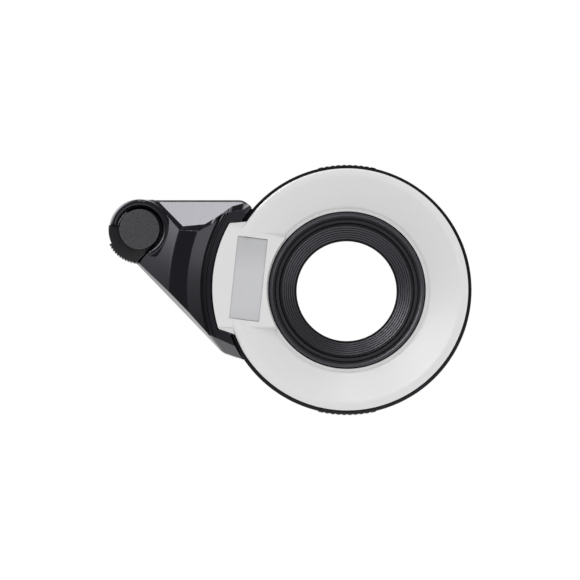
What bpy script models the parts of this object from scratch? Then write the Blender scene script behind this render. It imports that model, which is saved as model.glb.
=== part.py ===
"""Macro ring-flash diffuser: a white dished ring round a ribbed bore, fed with light by a hollow arm.

Bench frame: X to the right, Y up along the face, Z out of the face towards the subject. A parent
empty stands the finished part up, so that its face looks along -Y and the arm's top edge is up (+Z).
The origin is on the ring's axis, in the plane where the part seats on the camera's lens mount.
"""

import math

import bmesh
import bpy
from mathutils import Matrix, Vector

MM = 0.001

# Fits and walls
CLEAR = 0.3 * MM
WALL = 1.3 * MM
EDGE = 0.4 * MM

# Sizes across the ring, from the outside in
RING_R = 30.0 * MM
RIM_STEP = 0.85 * MM
RIM_ROUND = 1.75 * MM
DISH_W = 6.5 * MM
LIP_W = 1.85 * MM
BAFFLE_W = 6.9 * MM
DIFFUSER_R = RING_R - RIM_STEP
DISH_OUT_R = DIFFUSER_R - RIM_ROUND
DISH_IN_R = DISH_OUT_R - DISH_W
MOUTH_R = DISH_IN_R - LIP_W
APERTURE_R = MOUTH_R - BAFFLE_W

# Lock ring and the neck on which it turns
LOCK_R = RING_R
LOCK_T = 4.1 * MM
LOCK_W = 7.1 * MM
LOCK_WALL = 1.6 * MM
LOCK_WEB = 2.1 * MM
LOCK_HUB = 2.0 * MM
LOCK_ROOM = 0.95 * MM
LOCK_TURN = 50.0
NECK_R = LOCK_R - LOCK_W - CLEAR
NECK_WALL = 2.4 * MM
NECK_BORE_R = NECK_R - NECK_WALL
FLANGE_T = 0.8 * MM
CHANNEL_OUT_R = LOCK_R - LOCK_WALL
CHANNEL_IN_R = NECK_R + CLEAR + LOCK_HUB
CHANNEL_R = (CHANNEL_IN_R + CHANNEL_OUT_R) / 2
CHANNEL_W = CHANNEL_OUT_R - CHANNEL_IN_R
RETAINER_LIP = 1.8 * MM
RETAINER_STEP = 2.0 * MM
RETAINER_T = 0.9 * MM
RETAINER_R = NECK_R + RETAINER_LIP
RETAINER_BORE_R = NECK_BORE_R - RETAINER_STEP

# Grip patches, in line on the lock ring and on the housing's rim
GRIP_PATCHES = 2
GRIP_AZ = 90.0
GRIP_RIBS = 8
GRIP_PITCH = 2.65
GRIP_BLOCK = 2.5
GRIP_PROUD = 0.25 * MM
GRIP_END = 0.7 * MM

# Stops and drag spring in the lock ring's channel
STOP_R = 0.28 * CHANNEL_W
STOP_AZ = 60.0
STOP_BLOCK_ARC = 7.0
SPRING_T = 0.35 * MM
SPRING_ARC = 24.0
SPRING_AZ = 270.0
SPRING_BOW = 0.34 * CHANNEL_W
PEG_R = 0.14 * CHANNEL_W

# Bayonet plate
PLATE_T = 1.5 * MM
PLATE_R = LOCK_R - LOCK_WALL
PLATE_BORE_R = NECK_BORE_R - 2 * CLEAR
LUG_DEEP = 1.3 * MM
LUG_R = PLATE_BORE_R - LUG_DEEP
LUG_ARC = 36.0
LUG_COUNT = 3
LUG_AZ = 90.0

# Heights of the ring, from the camera side forwards
FLOOR_T = 0.9 * MM
RIM_H = 3.0 * MM
RIM_WALL = 1.4 * MM
DIFFUSER_RISE = 3.1 * MM
DIFFUSER_WALL = 1.3 * MM
DISH_DEPTH = 4.4 * MM
LIP_H = 0.3 * MM
DIP_W = 0.6 * MM
DIP_H = 0.2 * MM
SEAT_W = 0.9 * MM
LINER_T = 0.5 * MM
LINER_STEP = 2.6 * MM
LOCK_Z = PLATE_T + CLEAR
LOCK_TOP = LOCK_Z + LOCK_T
CHANNEL_Z = LOCK_Z + LOCK_WEB
FLOOR_Z = LOCK_TOP + CLEAR
TRAY_Z = FLOOR_Z + FLOOR_T
RIM_Z = FLOOR_Z + RIM_H
DIFFUSER_Z = RIM_Z + CLEAR
DISH_TOP = DIFFUSER_Z + DIFFUSER_RISE
DISH_LOW = DISH_TOP - DISH_DEPTH
RETAINER_Z = LOCK_Z + 2 * CLEAR
NECK_Z = RETAINER_Z + RETAINER_T + CLEAR
SHOULDER_Z = NECK_Z + FLANGE_T + CLEAR

# Baffle tube in the bore
BAFFLE_DEPTH = 5.6 * MM
BAFFLE_WALL = 1.2 * MM
BEAD_W = 0.75 * MM
BEAD_STEP = 0.35 * MM
BEAD_LOW = 0.1 * MM
WALL_SHARE = 0.42
LEDGE_W = 1.5 * MM
LEDGE_GROOVE = 0.2 * MM
RIDGES = 7
RIDGE_RISE = 0.22 * MM

# Bridge block between ring and arm, and its window
BLOCK_AZ = 174.0
BLOCK_REACH = 2.4 * MM
BLOCK_R = RING_R + BLOCK_REACH
BLOCK_SLOPE = 0.33
BLOCK_HALF = 12.8 * MM
BLOCK_TAPER = 0.126
BLOCK_DRAFT = 0.35
BLOCK_WALL = 1.2 * MM
BLOCK_RISE = 0.8 * MM
WINDOW_FRAME = 2.8 * MM
WINDOW_IN = DISH_IN_R - 2 * CLEAR
WINDOW_LONG = DISH_W + 0.7 * MM
WINDOW_HALF = BLOCK_HALF - WINDOW_FRAME
WINDOW_T = 1.0 * MM
WINDOW_SUNK = 0.25 * MM

# Heights of the arm
BAND_RISE = 1.0 * MM
PLATEAU_RISE = 3.0 * MM
SLOPE_DROP = 1.7 * MM
COLLAR_DROP = 1.2 * MM
ARM_BACK = 0.6 * MM
ARM_BACK_T = 1.4 * MM
ARM_PART_Z = TRAY_Z + CLEAR
COVER_Z = ARM_PART_Z + CLEAR
BAND_Z = DISH_TOP + BAND_RISE
BLOCK_Z = BAND_Z + BLOCK_RISE
PLATEAU_Z = BAND_Z + PLATEAU_RISE
SLOPE_Z = BAND_Z - SLOPE_DROP
COLLAR_Z = PLATEAU_Z - COLLAR_DROP
FACE_Z = PLATEAU_Z + WALL

# Widths of the arm's front, outwards from the ring
BAND_W = 1.6 * MM
GROOVE_W = 0.35 * MM
GROOVE_DEEP = 0.35 * MM
FACET_W = 3.4 * MM
PLATEAU_W = 3.4 * MM
PLATEAU_FILLET = 1.4 * MM
FALL = 28.2
BAND_R = BLOCK_R + CLEAR
FACET_R = BAND_R + BAND_W + GROOVE_W * 2
PLATEAU_R = FACET_R + FACET_W
LOCK_SPACE_R = LOCK_R + GRIP_PROUD + LOCK_ROOM

# Lever and its collar
COLLAR_R = 7.35 * MM
COLLAR_W = 1.4 * MM
COLLAR_T = 2.0 * MM
COLLAR_GAP = 1.03 * MM
COLLAR_BORE_R = COLLAR_R - COLLAR_W
COLLAR_START = -68.0
COLLAR_END = 169.0
SLOT_END = 127.0
DRUM_R = COLLAR_R - 0.75 * MM
DRUM_T = 1.4 * MM
DRUM_Z = ARM_PART_Z + DRUM_T
DISC_R = COLLAR_BORE_R - COLLAR_GAP
DISC_Z = COLLAR_Z - CLEAR
CAP_T = 0.7 * MM
CAP_EDGE = 0.15 * MM
CAP_PIN_R = 1.0 * MM
CAP_PIN_L = 1.6 * MM
TAB_R = COLLAR_R + 0.85 * MM
TAB_HEEL_R = COLLAR_R + 0.2 * MM
TAB_EDGE = DISC_R + 0.14 * MM
TAB_EDGE_AZ = -45.0
TAB_START = 178.0
TAB_GRIP = 205.0
TAB_TEETH = 11
TOOTH_DEEP = 0.35 * MM
LEVER_TURN = 40.0
SHAFT_R = 1.9 * MM
WASHER_T = 0.3 * MM
WASHER_R = 4.2 * MM
LEVER_Z = DRUM_Z + CLEAR + WASHER_T + CLEAR
TAB_Z = COLLAR_Z - COLLAR_T - CLEAR

# Outline of the arm
KNOB_REACH = 19.9 * MM
KNOB_X = -RING_R - KNOB_REACH
KNOB_Y = 14.25 * MM
ARM_TOP = KNOB_Y + COLLAR_R
SLOPE_ANGLE = 35.0
SHOULDER_X = -0.83 * RING_R
SHOULDER_R = 3.0 * MM
SIDE_ANGLE = 46.0
SIDE_OFFSET = DRUM_R - 0.5 * MM
SIDE_DRAFT = 0.11
HEEL_X = -0.8367 * RING_R
HEEL_Y = -0.56 * RING_R
HEEL_ANGLE = 19.2
HEEL_R = 4.0 * MM
HEEL_DRAFT = 0.44

# Light inlet in the arm's back and the shutter over it
INLET_ROOM = 5.9 * MM
INLET_R = KNOB_REACH - INLET_ROOM
INLET_LONG = 7.0 * MM
INLET_WIDE = 5.0 * MM
INLET_LEDGE = 0.7 * MM
INLET_T = 0.5 * MM
BLADE_GAP = 0.5 * MM
BLADE_Z = ARM_BACK + ARM_BACK_T + CLEAR + INLET_T + BLADE_GAP
BLADE_T = 0.8 * MM
BLADE_R = INLET_R + INLET_LONG / 2 + INLET_LEDGE
BLADE_HALF = INLET_WIDE / 2 + WALL
BLADE_HUB_R = 3.3 * MM
BLADE_CORNER = 1.2 * MM
BLADE_REST = 4.0

# Arm reflector
MIRROR_ROOM = 15.1 * MM
MIRROR_DROP = 2.1 * MM
MIRROR_IN = PLATEAU_R - EDGE
MIRROR_LONG = KNOB_REACH - MIRROR_ROOM
MIRROR_TOP = PLATEAU_Z - MIRROR_DROP
MIRROR_WIDE = 10.6 * MM
MIRROR_SHIFT = -3.0 * MM
MIRROR_T = 0.8 * MM

# Screws
SCREW_R = 0.5 * MM
SCREW_HEAD_R = 1.05 * MM
SCREW_HEAD_T = 0.45 * MM
HOLE_R = SCREW_R + CLEAR
POST_R = 1.25 * MM
NECK_SCREW_L = 3.0 * MM
ARM_SCREW_L = 6.0 * MM
PLATE_SCREW_L = 2.6 * MM
BLADE_SCREW_L = 3.2 * MM
ARM_SCREW_REACH = 2.2 * MM
ARM_SCREW_IN = 3.1 * MM
ARM_SCREW_DROP = 3.6 * MM
RING_SCREWS = 3
NECK_SCREW_AZ = 30.0
PLATE_SCREW_AZ = 90.0

# Facets
RING_STEPS = 40
BORE_STEPS = 32
SMALL_STEPS = 24
SCREW_STEPS = 12
CORNER_STEPS = 5

# Reach of the cutting bodies beyond the part, and how far joined bodies sink into each other
DEEP = 40.0 * MM
SINK = 0.1 * MM

KNOB = Vector((KNOB_X, KNOB_Y, 0.0))


def clear_scene():
    for old in list(bpy.data.objects):
        bpy.data.objects.remove(old, do_unlink=True)


def polar(radius, degrees, z=0.0):
    turn = math.radians(degrees)
    return Vector((radius * math.cos(turn), radius * math.sin(turn), z))


def solid(name, bm):
    """A new object from a bmesh, with its faces turned outwards."""
    bmesh.ops.recalc_face_normals(bm, faces=bm.faces)
    mesh = bpy.data.meshes.new(name)
    bm.to_mesh(mesh)
    bm.free()
    piece = bpy.data.objects.new(name, mesh)
    bpy.context.collection.objects.link(piece)
    return piece


def stacked(name, loops, closed=False):
    """Loops of equally many points joined by quads; capped at both ends unless the stack closes on itself."""
    bm = bmesh.new()
    rows = [[bm.verts.new(point) for point in loop] for loop in loops]
    pairs = list(zip(rows, rows[1:]))
    if closed:
        pairs.append((rows[-1], rows[0]))
    count = len(rows[0])
    for low, high in pairs:
        for i in range(count):
            j = (i + 1) % count
            bm.faces.new((low[i], low[j], high[j], high[i]))
    if not closed:
        bm.faces.new(rows[0])
        bm.faces.new(rows[-1])
    return solid(name, bm)


def turned(name, profile, steps, start=0.0, sweep=360.0, centre=Vector()):
    """A profile of (radius, z) points turned round the Z axis through centre."""
    whole = sweep >= 360.0
    count = steps if whole else steps + 1
    loops = []
    for i in range(count):
        degrees = start + sweep * i / steps
        loops.append([centre + polar(radius, degrees, z) for radius, z in profile])
    return stacked(name, loops, closed=whole)


def prism(name, outline, low, high):
    return stacked(name, [[Vector((p.x, p.y, z)) for p in outline] for z in (low, high)])


def disc(name, radius, low, high, centre=Vector(), steps=SMALL_STEPS):
    return prism(name, [centre + polar(radius, 360.0 * i / steps) for i in range(steps)], low, high)


def wedge(name, start, end, half_start, half_end, low, high, draft=0.0):
    """A block along +X between two X stations: low and high give Z at an X, and draft widens it downwards."""
    loops = []
    for x, half in ((start, half_start), (end, half_end)):
        spread = half + draft * (high(x) - low(x))
        loops.append([Vector((x, side, z)) for side, z in (
            (-spread, low(x)), (spread, low(x)), (half, high(x)), (-half, high(x)))])
    return stacked(name, loops)


def combine(piece, tool, operation):
    """Boolean of two objects, kept in the first; the second is used up."""
    step = piece.modifiers.new(operation.lower(), "BOOLEAN")
    step.object = tool
    step.operation = operation
    step.solver = "EXACT"
    bpy.context.view_layer.update()
    graph = bpy.context.evaluated_depsgraph_get()
    mesh = bpy.data.meshes.new_from_object(piece.evaluated_get(graph))
    piece.modifiers.clear()
    piece.data = mesh
    bpy.data.objects.remove(tool, do_unlink=True)
    return piece


def cut(piece, *tools):
    for tool in tools:
        combine(piece, tool, "DIFFERENCE")
    return piece


def join(piece, *tools):
    for tool in tools:
        combine(piece, tool, "UNION")
    return piece


def common(piece, tool):
    return combine(piece, tool, "INTERSECT")


def turn_about_axis(piece, degrees):
    piece.data.transform(Matrix.Rotation(math.radians(degrees), 4, "Z"))
    return piece


def meeting(p, along_p, q, along_q):
    """Where two lines of the XY plane cross."""
    across = along_p.x * along_q.y - along_p.y * along_q.x
    gap = q - p
    return p + along_p * ((gap.x * along_q.y - gap.y * along_q.x) / across)


def rounded(before, corner, after, radius):
    """The arc that rounds one corner of an outline."""
    into = (before - corner).normalized()
    out = (after - corner).normalized()
    half = into.angle(out) / 2
    reach = radius / math.tan(half)
    middle = corner + (into + out).normalized() * (radius / math.sin(half))
    first = (corner + into * reach - middle).normalized()
    last = (corner + out * reach - middle).normalized()
    return [middle + first.slerp(last, i / CORNER_STEPS) * radius for i in range(CORNER_STEPS + 1)]


def arm_outline(end_r, inset=0.0, side_in=0.0, heel_in=0.0):
    """The arm seen from the front: flat top, slanting side, round end at the knob, open towards the ring."""
    top = Vector((SHOULDER_X, ARM_TOP - inset, 0.0))
    shoulder_way = Vector((1.0, -1.0, 0.0))
    shoulder = Vector((SHOULDER_X, ARM_TOP, 0.0)) - Vector((inset, inset, 0.0)) / math.sqrt(2.0)
    side_way = polar(1.0, -SIDE_ANGLE)
    side_out = polar(1.0, -SIDE_ANGLE - 90.0)
    side_gap = SIDE_OFFSET - inset - side_in
    side = KNOB + side_out * side_gap
    heel_way = polar(1.0, -HEEL_ANGLE)
    heel = Vector((HEEL_X, HEEL_Y, 0.0)) + polar(1.0, 90.0 - HEEL_ANGLE) * (inset + heel_in)
    upper = meeting(top, Vector((1.0, 0.0, 0.0)), shoulder, shoulder_way)
    lower = meeting(side, side_way, heel, heel_way)
    inner = RING_R * 0.8
    upper_end = upper + shoulder_way * (upper.length - inner)
    lower_end = lower + heel_way * (lower.length - inner)
    tangent = Vector((KNOB_X + DRUM_R / 2, ARM_TOP - inset, 0.0))
    last = 270.0 - SIDE_ANGLE + math.degrees(math.acos(min(1.0, side_gap / end_r)))
    turns = 4 * CORNER_STEPS
    end = [KNOB + polar(end_r, 90.0 + (last - 90.0) * i / turns) for i in range(turns + 1)]
    points = [upper_end] + rounded(upper_end, upper, tangent, SHOULDER_R) + [tangent] + end
    return points + rounded(end[-1], lower, lower_end, HEEL_R) + [lower_end]


def block_top(x):
    return BLOCK_Z + (x - BLOCK_R) * BLOCK_SLOPE


def block_half(x):
    return BLOCK_HALF + (x - BLOCK_R) * BLOCK_TAPER


def block(name, start, end, grow, low, drop=0.0):
    """The bridge's tapering body along +X, made larger or smaller all round by grow."""
    grow += BLOCK_DRAFT * drop
    piece = wedge(name, start, end, block_half(start) + grow, block_half(end) + grow,
                  lambda x: low, lambda x: block_top(x) - drop, BLOCK_DRAFT)
    return turn_about_axis(piece, BLOCK_AZ)


def on_circle(p, along, radius):
    """Where a line of the XY plane first comes within a radius of the ring's axis."""
    near = -p.dot(along)
    return p + along * (near - math.sqrt(near * near - p.length_squared + radius * radius))


def arm_screw_places():
    """One screw under the arm's top edge and one beside its slanting side, both close to the ring."""
    side = KNOB + polar(SIDE_OFFSET - ARM_SCREW_IN, -SIDE_ANGLE - 90.0)
    return [Vector((-RING_R, ARM_TOP - ARM_SCREW_DROP, 0.0)),
            on_circle(side, polar(1.0, -SIDE_ANGLE), BAND_R + ARM_SCREW_REACH)]


def ring_screw_places(radius, offset):
    return [polar(radius, offset + 360.0 * i / RING_SCREWS) for i in range(RING_SCREWS)]


def screw(name, place, head_z, length, steps=SCREW_STEPS):
    """A pan-head screw driven from behind: its head looks back and its shank points forwards."""
    top = head_z + SCREW_HEAD_T
    profile = [(0.0, head_z), (SCREW_HEAD_R, head_z), (SCREW_HEAD_R, top), (SCREW_R, top),
               (SCREW_R, top + length), (0.0, top + length)]
    bm = bmesh.new()
    path = [bm.verts.new(Vector((radius, 0.0, z))) for radius, z in profile]
    edges = [bm.edges.new(pair) for pair in zip(path, path[1:])]
    bmesh.ops.spin(bm, geom=path + edges, axis=(0, 0, 1), cent=(0, 0, 0), angle=math.tau, steps=steps)
    bmesh.ops.remove_doubles(bm, verts=bm.verts, dist=0.01 * MM)
    bmesh.ops.translate(bm, verts=bm.verts, vec=place)
    return solid(name, bm)


def grip_columns():
    """Angles round the ring with what stands out there: patches of ribs, each closed by two blocks."""
    spacing = 360.0 / GRIP_PATCHES
    half = GRIP_RIBS * GRIP_PITCH / 2
    flank = GRIP_PITCH / 4
    block = [(half + flank, GRIP_PROUD), (half + GRIP_BLOCK, GRIP_PROUD), (half + GRIP_BLOCK + flank, 0.0)]
    patch = [(-off, proud) for off, proud in reversed(block)]
    patch += [(GRIP_PITCH * i / 2 - half, GRIP_PROUD * (i % 2)) for i in range(2 * GRIP_RIBS + 1)]
    patch += block
    end = patch[-1][0]
    plain = round((spacing - 2 * end) * RING_STEPS / 360.0)
    gap = (spacing - 2 * end) / plain
    patch += [(end + gap * i, 0.0) for i in range(1, plain)]
    return [(GRIP_AZ + spacing * k + off, proud) for k in range(GRIP_PATCHES) for off, proud in patch]


def make_housing():
    """Rear housing: ring tray, neck for the lock ring, and the rear half of the arm with the lever's drum."""
    lip_seat = DISH_LOW - DIFFUSER_WALL - CLEAR
    tray_in = DISH_IN_R + SEAT_W
    flange_r = MOUTH_R - WALL - CLEAR
    inside = [(RING_R, RIM_Z), (RING_R - RIM_WALL, RIM_Z), (RING_R - RIM_WALL, TRAY_Z), (tray_in, TRAY_Z),
              (tray_in, lip_seat), (NECK_BORE_R, lip_seat), (NECK_BORE_R, NECK_Z + FLANGE_T),
              (flange_r, NECK_Z + FLANGE_T), (flange_r, NECK_Z), (NECK_R, NECK_Z), (NECK_R, FLOOR_Z)]
    loops = []
    for degrees, proud in grip_columns():
        outside = [(RING_R + proud, FLOOR_Z), (RING_R + proud, RIM_Z - GRIP_END)]
        loops.append([polar(radius, degrees, z) for radius, z in outside + inside])
    ring = stacked("housing_ring", loops, closed=True)
    outline = arm_outline(DRUM_R)
    back = arm_outline(DRUM_R - WALL / 2, WALL / 2)
    body = stacked("housing", [
        [p + Vector((0, 0, ARM_BACK)) for p in back], [p + Vector((0, 0, ARM_BACK + WALL)) for p in outline],
        [p + Vector((0, 0, ARM_PART_Z)) for p in outline]])
    hollow = prism("hollow", arm_outline(DRUM_R - WALL, WALL), ARM_BACK + ARM_BACK_T, DEEP)
    cut(hollow, disc("lock_wall", LOCK_SPACE_R + WALL, -DEEP, 2 * DEEP, steps=RING_STEPS))
    cut(body, hollow)
    cut(body, disc("lock_space", LOCK_SPACE_R, -DEEP, FLOOR_Z + SINK, steps=RING_STEPS))
    cut(body, disc("ring_space", RING_R - RIM_WALL / 2, -DEEP, DEEP, steps=RING_STEPS))
    join(body, ring)
    port_half = math.degrees(math.asin((BLOCK_HALF - 2 * BLOCK_WALL) / RING_R))
    port_in = RING_R - 3 * RIM_WALL
    port_out = RING_R + RIM_WALL
    cut(body, turned("port", [(port_in, COVER_Z), (port_out, COVER_Z), (port_out, DEEP), (port_in, DEEP)],
                     SCREW_STEPS, BLOCK_AZ - port_half, 2 * port_half))
    plate_r = COLLAR_BORE_R - CLEAR
    join(body, disc("drum", plate_r, DRUM_Z - 2 * DRUM_T, DRUM_Z, KNOB))
    boss_low = BLADE_Z + BLADE_T + CLEAR
    join(body, disc("boss", SHAFT_R + WALL, boss_low + CLEAR, DRUM_Z - DRUM_T, KNOB))
    cut(body, disc("bearing", SHAFT_R + CLEAR, boss_low, DEEP, KNOB))
    cut(body, disc("screw_access", SCREW_HEAD_R + 2 * CLEAR, -DEEP, BLADE_Z, KNOB))
    pin_low = CHANNEL_Z + CLEAR
    pin_top = FLOOR_Z + FLOOR_T / 2
    join(body, disc("stop", STOP_R, pin_low, pin_top, polar(CHANNEL_R, STOP_AZ), SCREW_STEPS))
    for side in (-1, 1):
        peg = polar(spring_r(side) - SPRING_T / 2 - CLEAR - PEG_R, SPRING_AZ + side * SPRING_ARC / 2)
        join(body, disc("peg", PEG_R, pin_low, pin_top, peg, SCREW_STEPS))
    for place in ring_screw_places(NECK_R - NECK_WALL / 2, NECK_SCREW_AZ):
        cut(body, disc("tapping", HOLE_R, -DEEP, LOCK_TOP, place, SCREW_STEPS))
    for place in arm_screw_places():
        cut(body, disc("pass", HOLE_R, -DEEP, ARM_BACK + 2 * ARM_BACK_T, place, SCREW_STEPS))
        sink = ARM_BACK + ARM_BACK_T / 2
        cut(body, disc("sink", SCREW_HEAD_R + CLEAR, -DEEP, sink, place, SCREW_STEPS))
    cut(body, inlet_block("inlet", INLET_LONG, INLET_WIDE, -DEEP, BLADE_Z))
    return body


def inlet_block(name, length, width, low, high):
    """A block along the line from the knob to the light inlet, which the shutter covers when closed."""
    middle = KNOB + polar(INLET_R, BLADE_REST - LEVER_TURN)
    outline = [Vector((x, y, 0.0)) for x, y in ((-length, -width), (length, -width), (length, width),
                                                (-length, width))]
    turn = Matrix.Rotation(math.radians(BLADE_REST - LEVER_TURN), 3, "Z")
    return prism(name, [middle + turn @ (p / 2) for p in outline], low, high)


def spring_r(share):
    """Middle radius of the drag spring at share -1 to 1 of its arc: it bows out towards the ring's wall."""
    return CHANNEL_OUT_R - CLEAR - SPRING_T / 2 - SPRING_BOW * share * share


def arm_profile(drop):
    """The arm's front surface as a turned profile about the ring's axis, lowered by drop for its inside."""
    band_end = BAND_R + BAND_W
    fall = math.tan(math.radians(FALL))
    edge = PLATEAU_R + PLATEAU_W
    knee = edge + PLATEAU_FILLET
    far = -KNOB_X + KNOB_Y + 2 * COLLAR_R
    facet_z = BAND_Z + GROOVE_DEEP / 2
    inner = RING_R * 0.9 - drop
    top = [(inner, BAND_Z), (band_end, BAND_Z)]
    if drop == 0.0:
        top += [(band_end, BAND_Z - GROOVE_DEEP), (band_end + GROOVE_W, BAND_Z - GROOVE_DEEP),
                (band_end + GROOVE_W, facet_z)]
    top += [(FACET_R, facet_z), (PLATEAU_R, PLATEAU_Z), (edge, PLATEAU_Z),
            (edge + PLATEAU_FILLET / 2, PLATEAU_Z - PLATEAU_FILLET * fall / 8),
            (knee, PLATEAU_Z - PLATEAU_FILLET * fall / 2),
            (far, PLATEAU_Z - PLATEAU_FILLET * fall / 2 - (far - knee) * fall)]
    top = [(radius, z - drop) for radius, z in top]
    return [(inner, -DEEP), (far, -DEEP)] + top[::-1]


def arm_body(name, low, inset, drop):
    """The arm cover's outer form, or its inside when inset and dropped by the wall."""
    rise = FACE_Z - COVER_Z
    outline = arm_outline(COLLAR_R - inset, inset)
    front = arm_outline(COLLAR_R - inset, inset, SIDE_DRAFT * rise, HEEL_DRAFT * rise)
    body = stacked(name, [[p + Vector((0, 0, low)) for p in outline],
                          [p + Vector((0, 0, COVER_Z + CLEAR)) for p in outline],
                          [p + Vector((0, 0, FACE_Z)) for p in front]])
    common(body, turned("front_surface", arm_profile(drop), 20, 125.0, 100.0))
    slope = math.tan(math.radians(SLOPE_ANGLE))
    base = SLOPE_Z - drop
    far = 2 * COLLAR_R
    away = COLLAR_R / 2
    section = [(ARM_TOP + away, base - away * slope), (ARM_TOP - far, base + far * slope),
               (ARM_TOP + away, base + far * slope)]
    cut(body, stacked("slope", [[Vector((x, y, z)) for y, z in section] for x in (2 * KNOB_X, 0.0)]))
    return body


def make_arm_cover():
    """Front half of the arm: a faceted hood turned about the ring's axis, with the lever's open collar."""
    cover = arm_body("arm_cover", COVER_Z, 0.0, 0.0)
    cut(cover, arm_body("arm_inside", -DEEP, WALL, WALL * 1.15))
    round_r = (COLLAR_R - COLLAR_BORE_R) / 2
    middle = (COLLAR_R + COLLAR_BORE_R) / 2
    crown = [(middle + round_r * math.cos(a), COLLAR_Z - round_r + round_r * math.sin(a))
             for a in (math.pi * i / 6 for i in range(7))]
    wall = [(COLLAR_BORE_R, COVER_Z), (COLLAR_R, COVER_Z)] + crown
    hook = [(COLLAR_BORE_R, COLLAR_Z - COLLAR_T), (COLLAR_R, COLLAR_Z - COLLAR_T)] + crown
    join(cover, turned("collar_wall", wall, 24, COLLAR_START, SLOT_END - COLLAR_START, KNOB))
    lap = 6.0
    join(cover, turned("collar_hook", hook, 8, SLOT_END - lap, COLLAR_END - SLOT_END + lap, KNOB))
    cut(cover, disc("collar_bore", COLLAR_BORE_R, -DEEP, DEEP, KNOB, 2 * SMALL_STEPS))
    edge = polar(TAB_EDGE + CLEAR, TAB_EDGE_AZ)
    edge_way = polar(1.0, TAB_EDGE_AZ - 90.0)
    reach = 2 * TAB_R
    opening = [Vector(), edge, edge + edge_way * reach, polar(reach, 225.0), polar(reach, COLLAR_END)]
    cut(cover, prism("lever_opening", [KNOB + p for p in opening], -DEEP, DEEP))
    slot = [Vector(), polar(reach, COLLAR_END + 10.0), polar(reach, (COLLAR_END + SLOT_END) / 2),
            polar(reach, SLOT_END)]
    cut(cover, prism("lever_slot", [KNOB + p for p in slot], -DEEP, COLLAR_Z - COLLAR_T))
    post_low = ARM_BACK + ARM_BACK_T + CLEAR
    for place in arm_screw_places():
        join(cover, disc("post", POST_R, post_low, BAND_Z - WALL / 2, place, SCREW_STEPS))
        cut(cover, disc("pilot", HOLE_R, -DEEP, COVER_Z, place, SCREW_STEPS))
    opening_r = BLOCK_R + CLEAR
    space = block("block_space", RING_R * 0.5, BLOCK_R + WALL, CLEAR, -DEEP / 4, -DEEP / 4)
    common(space, disc("block_round", opening_r, -DEEP, DEEP, steps=RING_STEPS))
    cut(cover, space)
    cut(cover, disc("ring_space", RING_R + CLEAR, -DEEP, DEEP, steps=RING_STEPS))
    return cover


def dish_profile():
    """Section of the dished ring: rounded outer rim, sloping face, small lip at the mouth."""
    top = DISH_TOP
    low = DISH_LOW
    out_r = DIFFUSER_R
    rim = RIM_ROUND * 0.45
    inner = DISH_OUT_R
    dip_r = DISH_IN_R - DIP_W
    under = DIFFUSER_WALL
    skirt = inner + EDGE
    return [(out_r, DIFFUSER_Z), (out_r, top - rim), (out_r - rim * 0.3, top - rim * 0.3), (out_r - rim, top),
            (inner, top), (inner - DIP_W, top - DIP_H), (DISH_IN_R, low), (dip_r, low - DIP_H),
            (MOUTH_R + LIP_W * 0.4, low), (MOUTH_R + LIP_W * 0.25, low + LIP_H),
            (MOUTH_R + LIP_W * 0.08, low + LIP_H), (MOUTH_R, low + LIP_H / 2), (MOUTH_R, low - under),
            (dip_r, low - under), (inner - CLEAR, top - under * 1.15), (skirt, top - under),
            (skirt, DIFFUSER_Z)]


def make_diffuser():
    """White dished ring with the hollow bridge block that takes in the arm's light."""
    ring = turned("diffuser_ring", dish_profile(), RING_STEPS)
    low = DISH_LOW - DIFFUSER_WALL + SINK
    foot = DIFFUSER_Z + SINK
    inner = MOUTH_R + SINK
    off_seam = 1.1
    blank = turned("above_dish", [
        (inner, low), (DISH_IN_R, low), (DISH_OUT_R - CLEAR, DISH_TOP - DIFFUSER_WALL),
        (DISH_OUT_R + DIP_W, foot), (BLOCK_R, foot), (BLOCK_R, DEEP), (inner, DEEP)], 2 * RING_STEPS, off_seam)
    bridge = common(block("bridge", RING_R * 0.5, BLOCK_R + WALL, 0.0, DISH_LOW - 2 * DIFFUSER_WALL), blank)
    join(ring, bridge)
    ring.name = "diffuser"
    inside = block("bridge_inside", MOUTH_R + BLOCK_WALL, BLOCK_R - BLOCK_WALL, -BLOCK_WALL, -DEEP / 8,
                   BLOCK_WALL)
    cut(ring, inside)
    port_top = BAND_Z - WALL - CLEAR
    port = wedge("port", BLOCK_R - 2 * BLOCK_WALL, BLOCK_R + WALL, BLOCK_HALF - 2 * BLOCK_WALL,
                 BLOCK_HALF - 2 * BLOCK_WALL, lambda x: -DEEP, lambda x: port_top)
    cut(ring, turn_about_axis(port, BLOCK_AZ))
    hole = wedge("window_hole", WINDOW_IN, WINDOW_IN + WINDOW_LONG, WINDOW_HALF, WINDOW_HALF,
                 lambda x: 0.0, lambda x: DEEP)
    cut(ring, turn_about_axis(hole, BLOCK_AZ))
    return ring


def make_light_window():
    half = WINDOW_HALF - CLEAR
    pane = wedge("light_window", WINDOW_IN + CLEAR, WINDOW_IN + WINDOW_LONG - CLEAR, half, half,
                 lambda x: block_top(x) - WINDOW_SUNK - WINDOW_T, lambda x: block_top(x) - WINDOW_SUNK)
    return turn_about_axis(pane, BLOCK_AZ)


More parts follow.
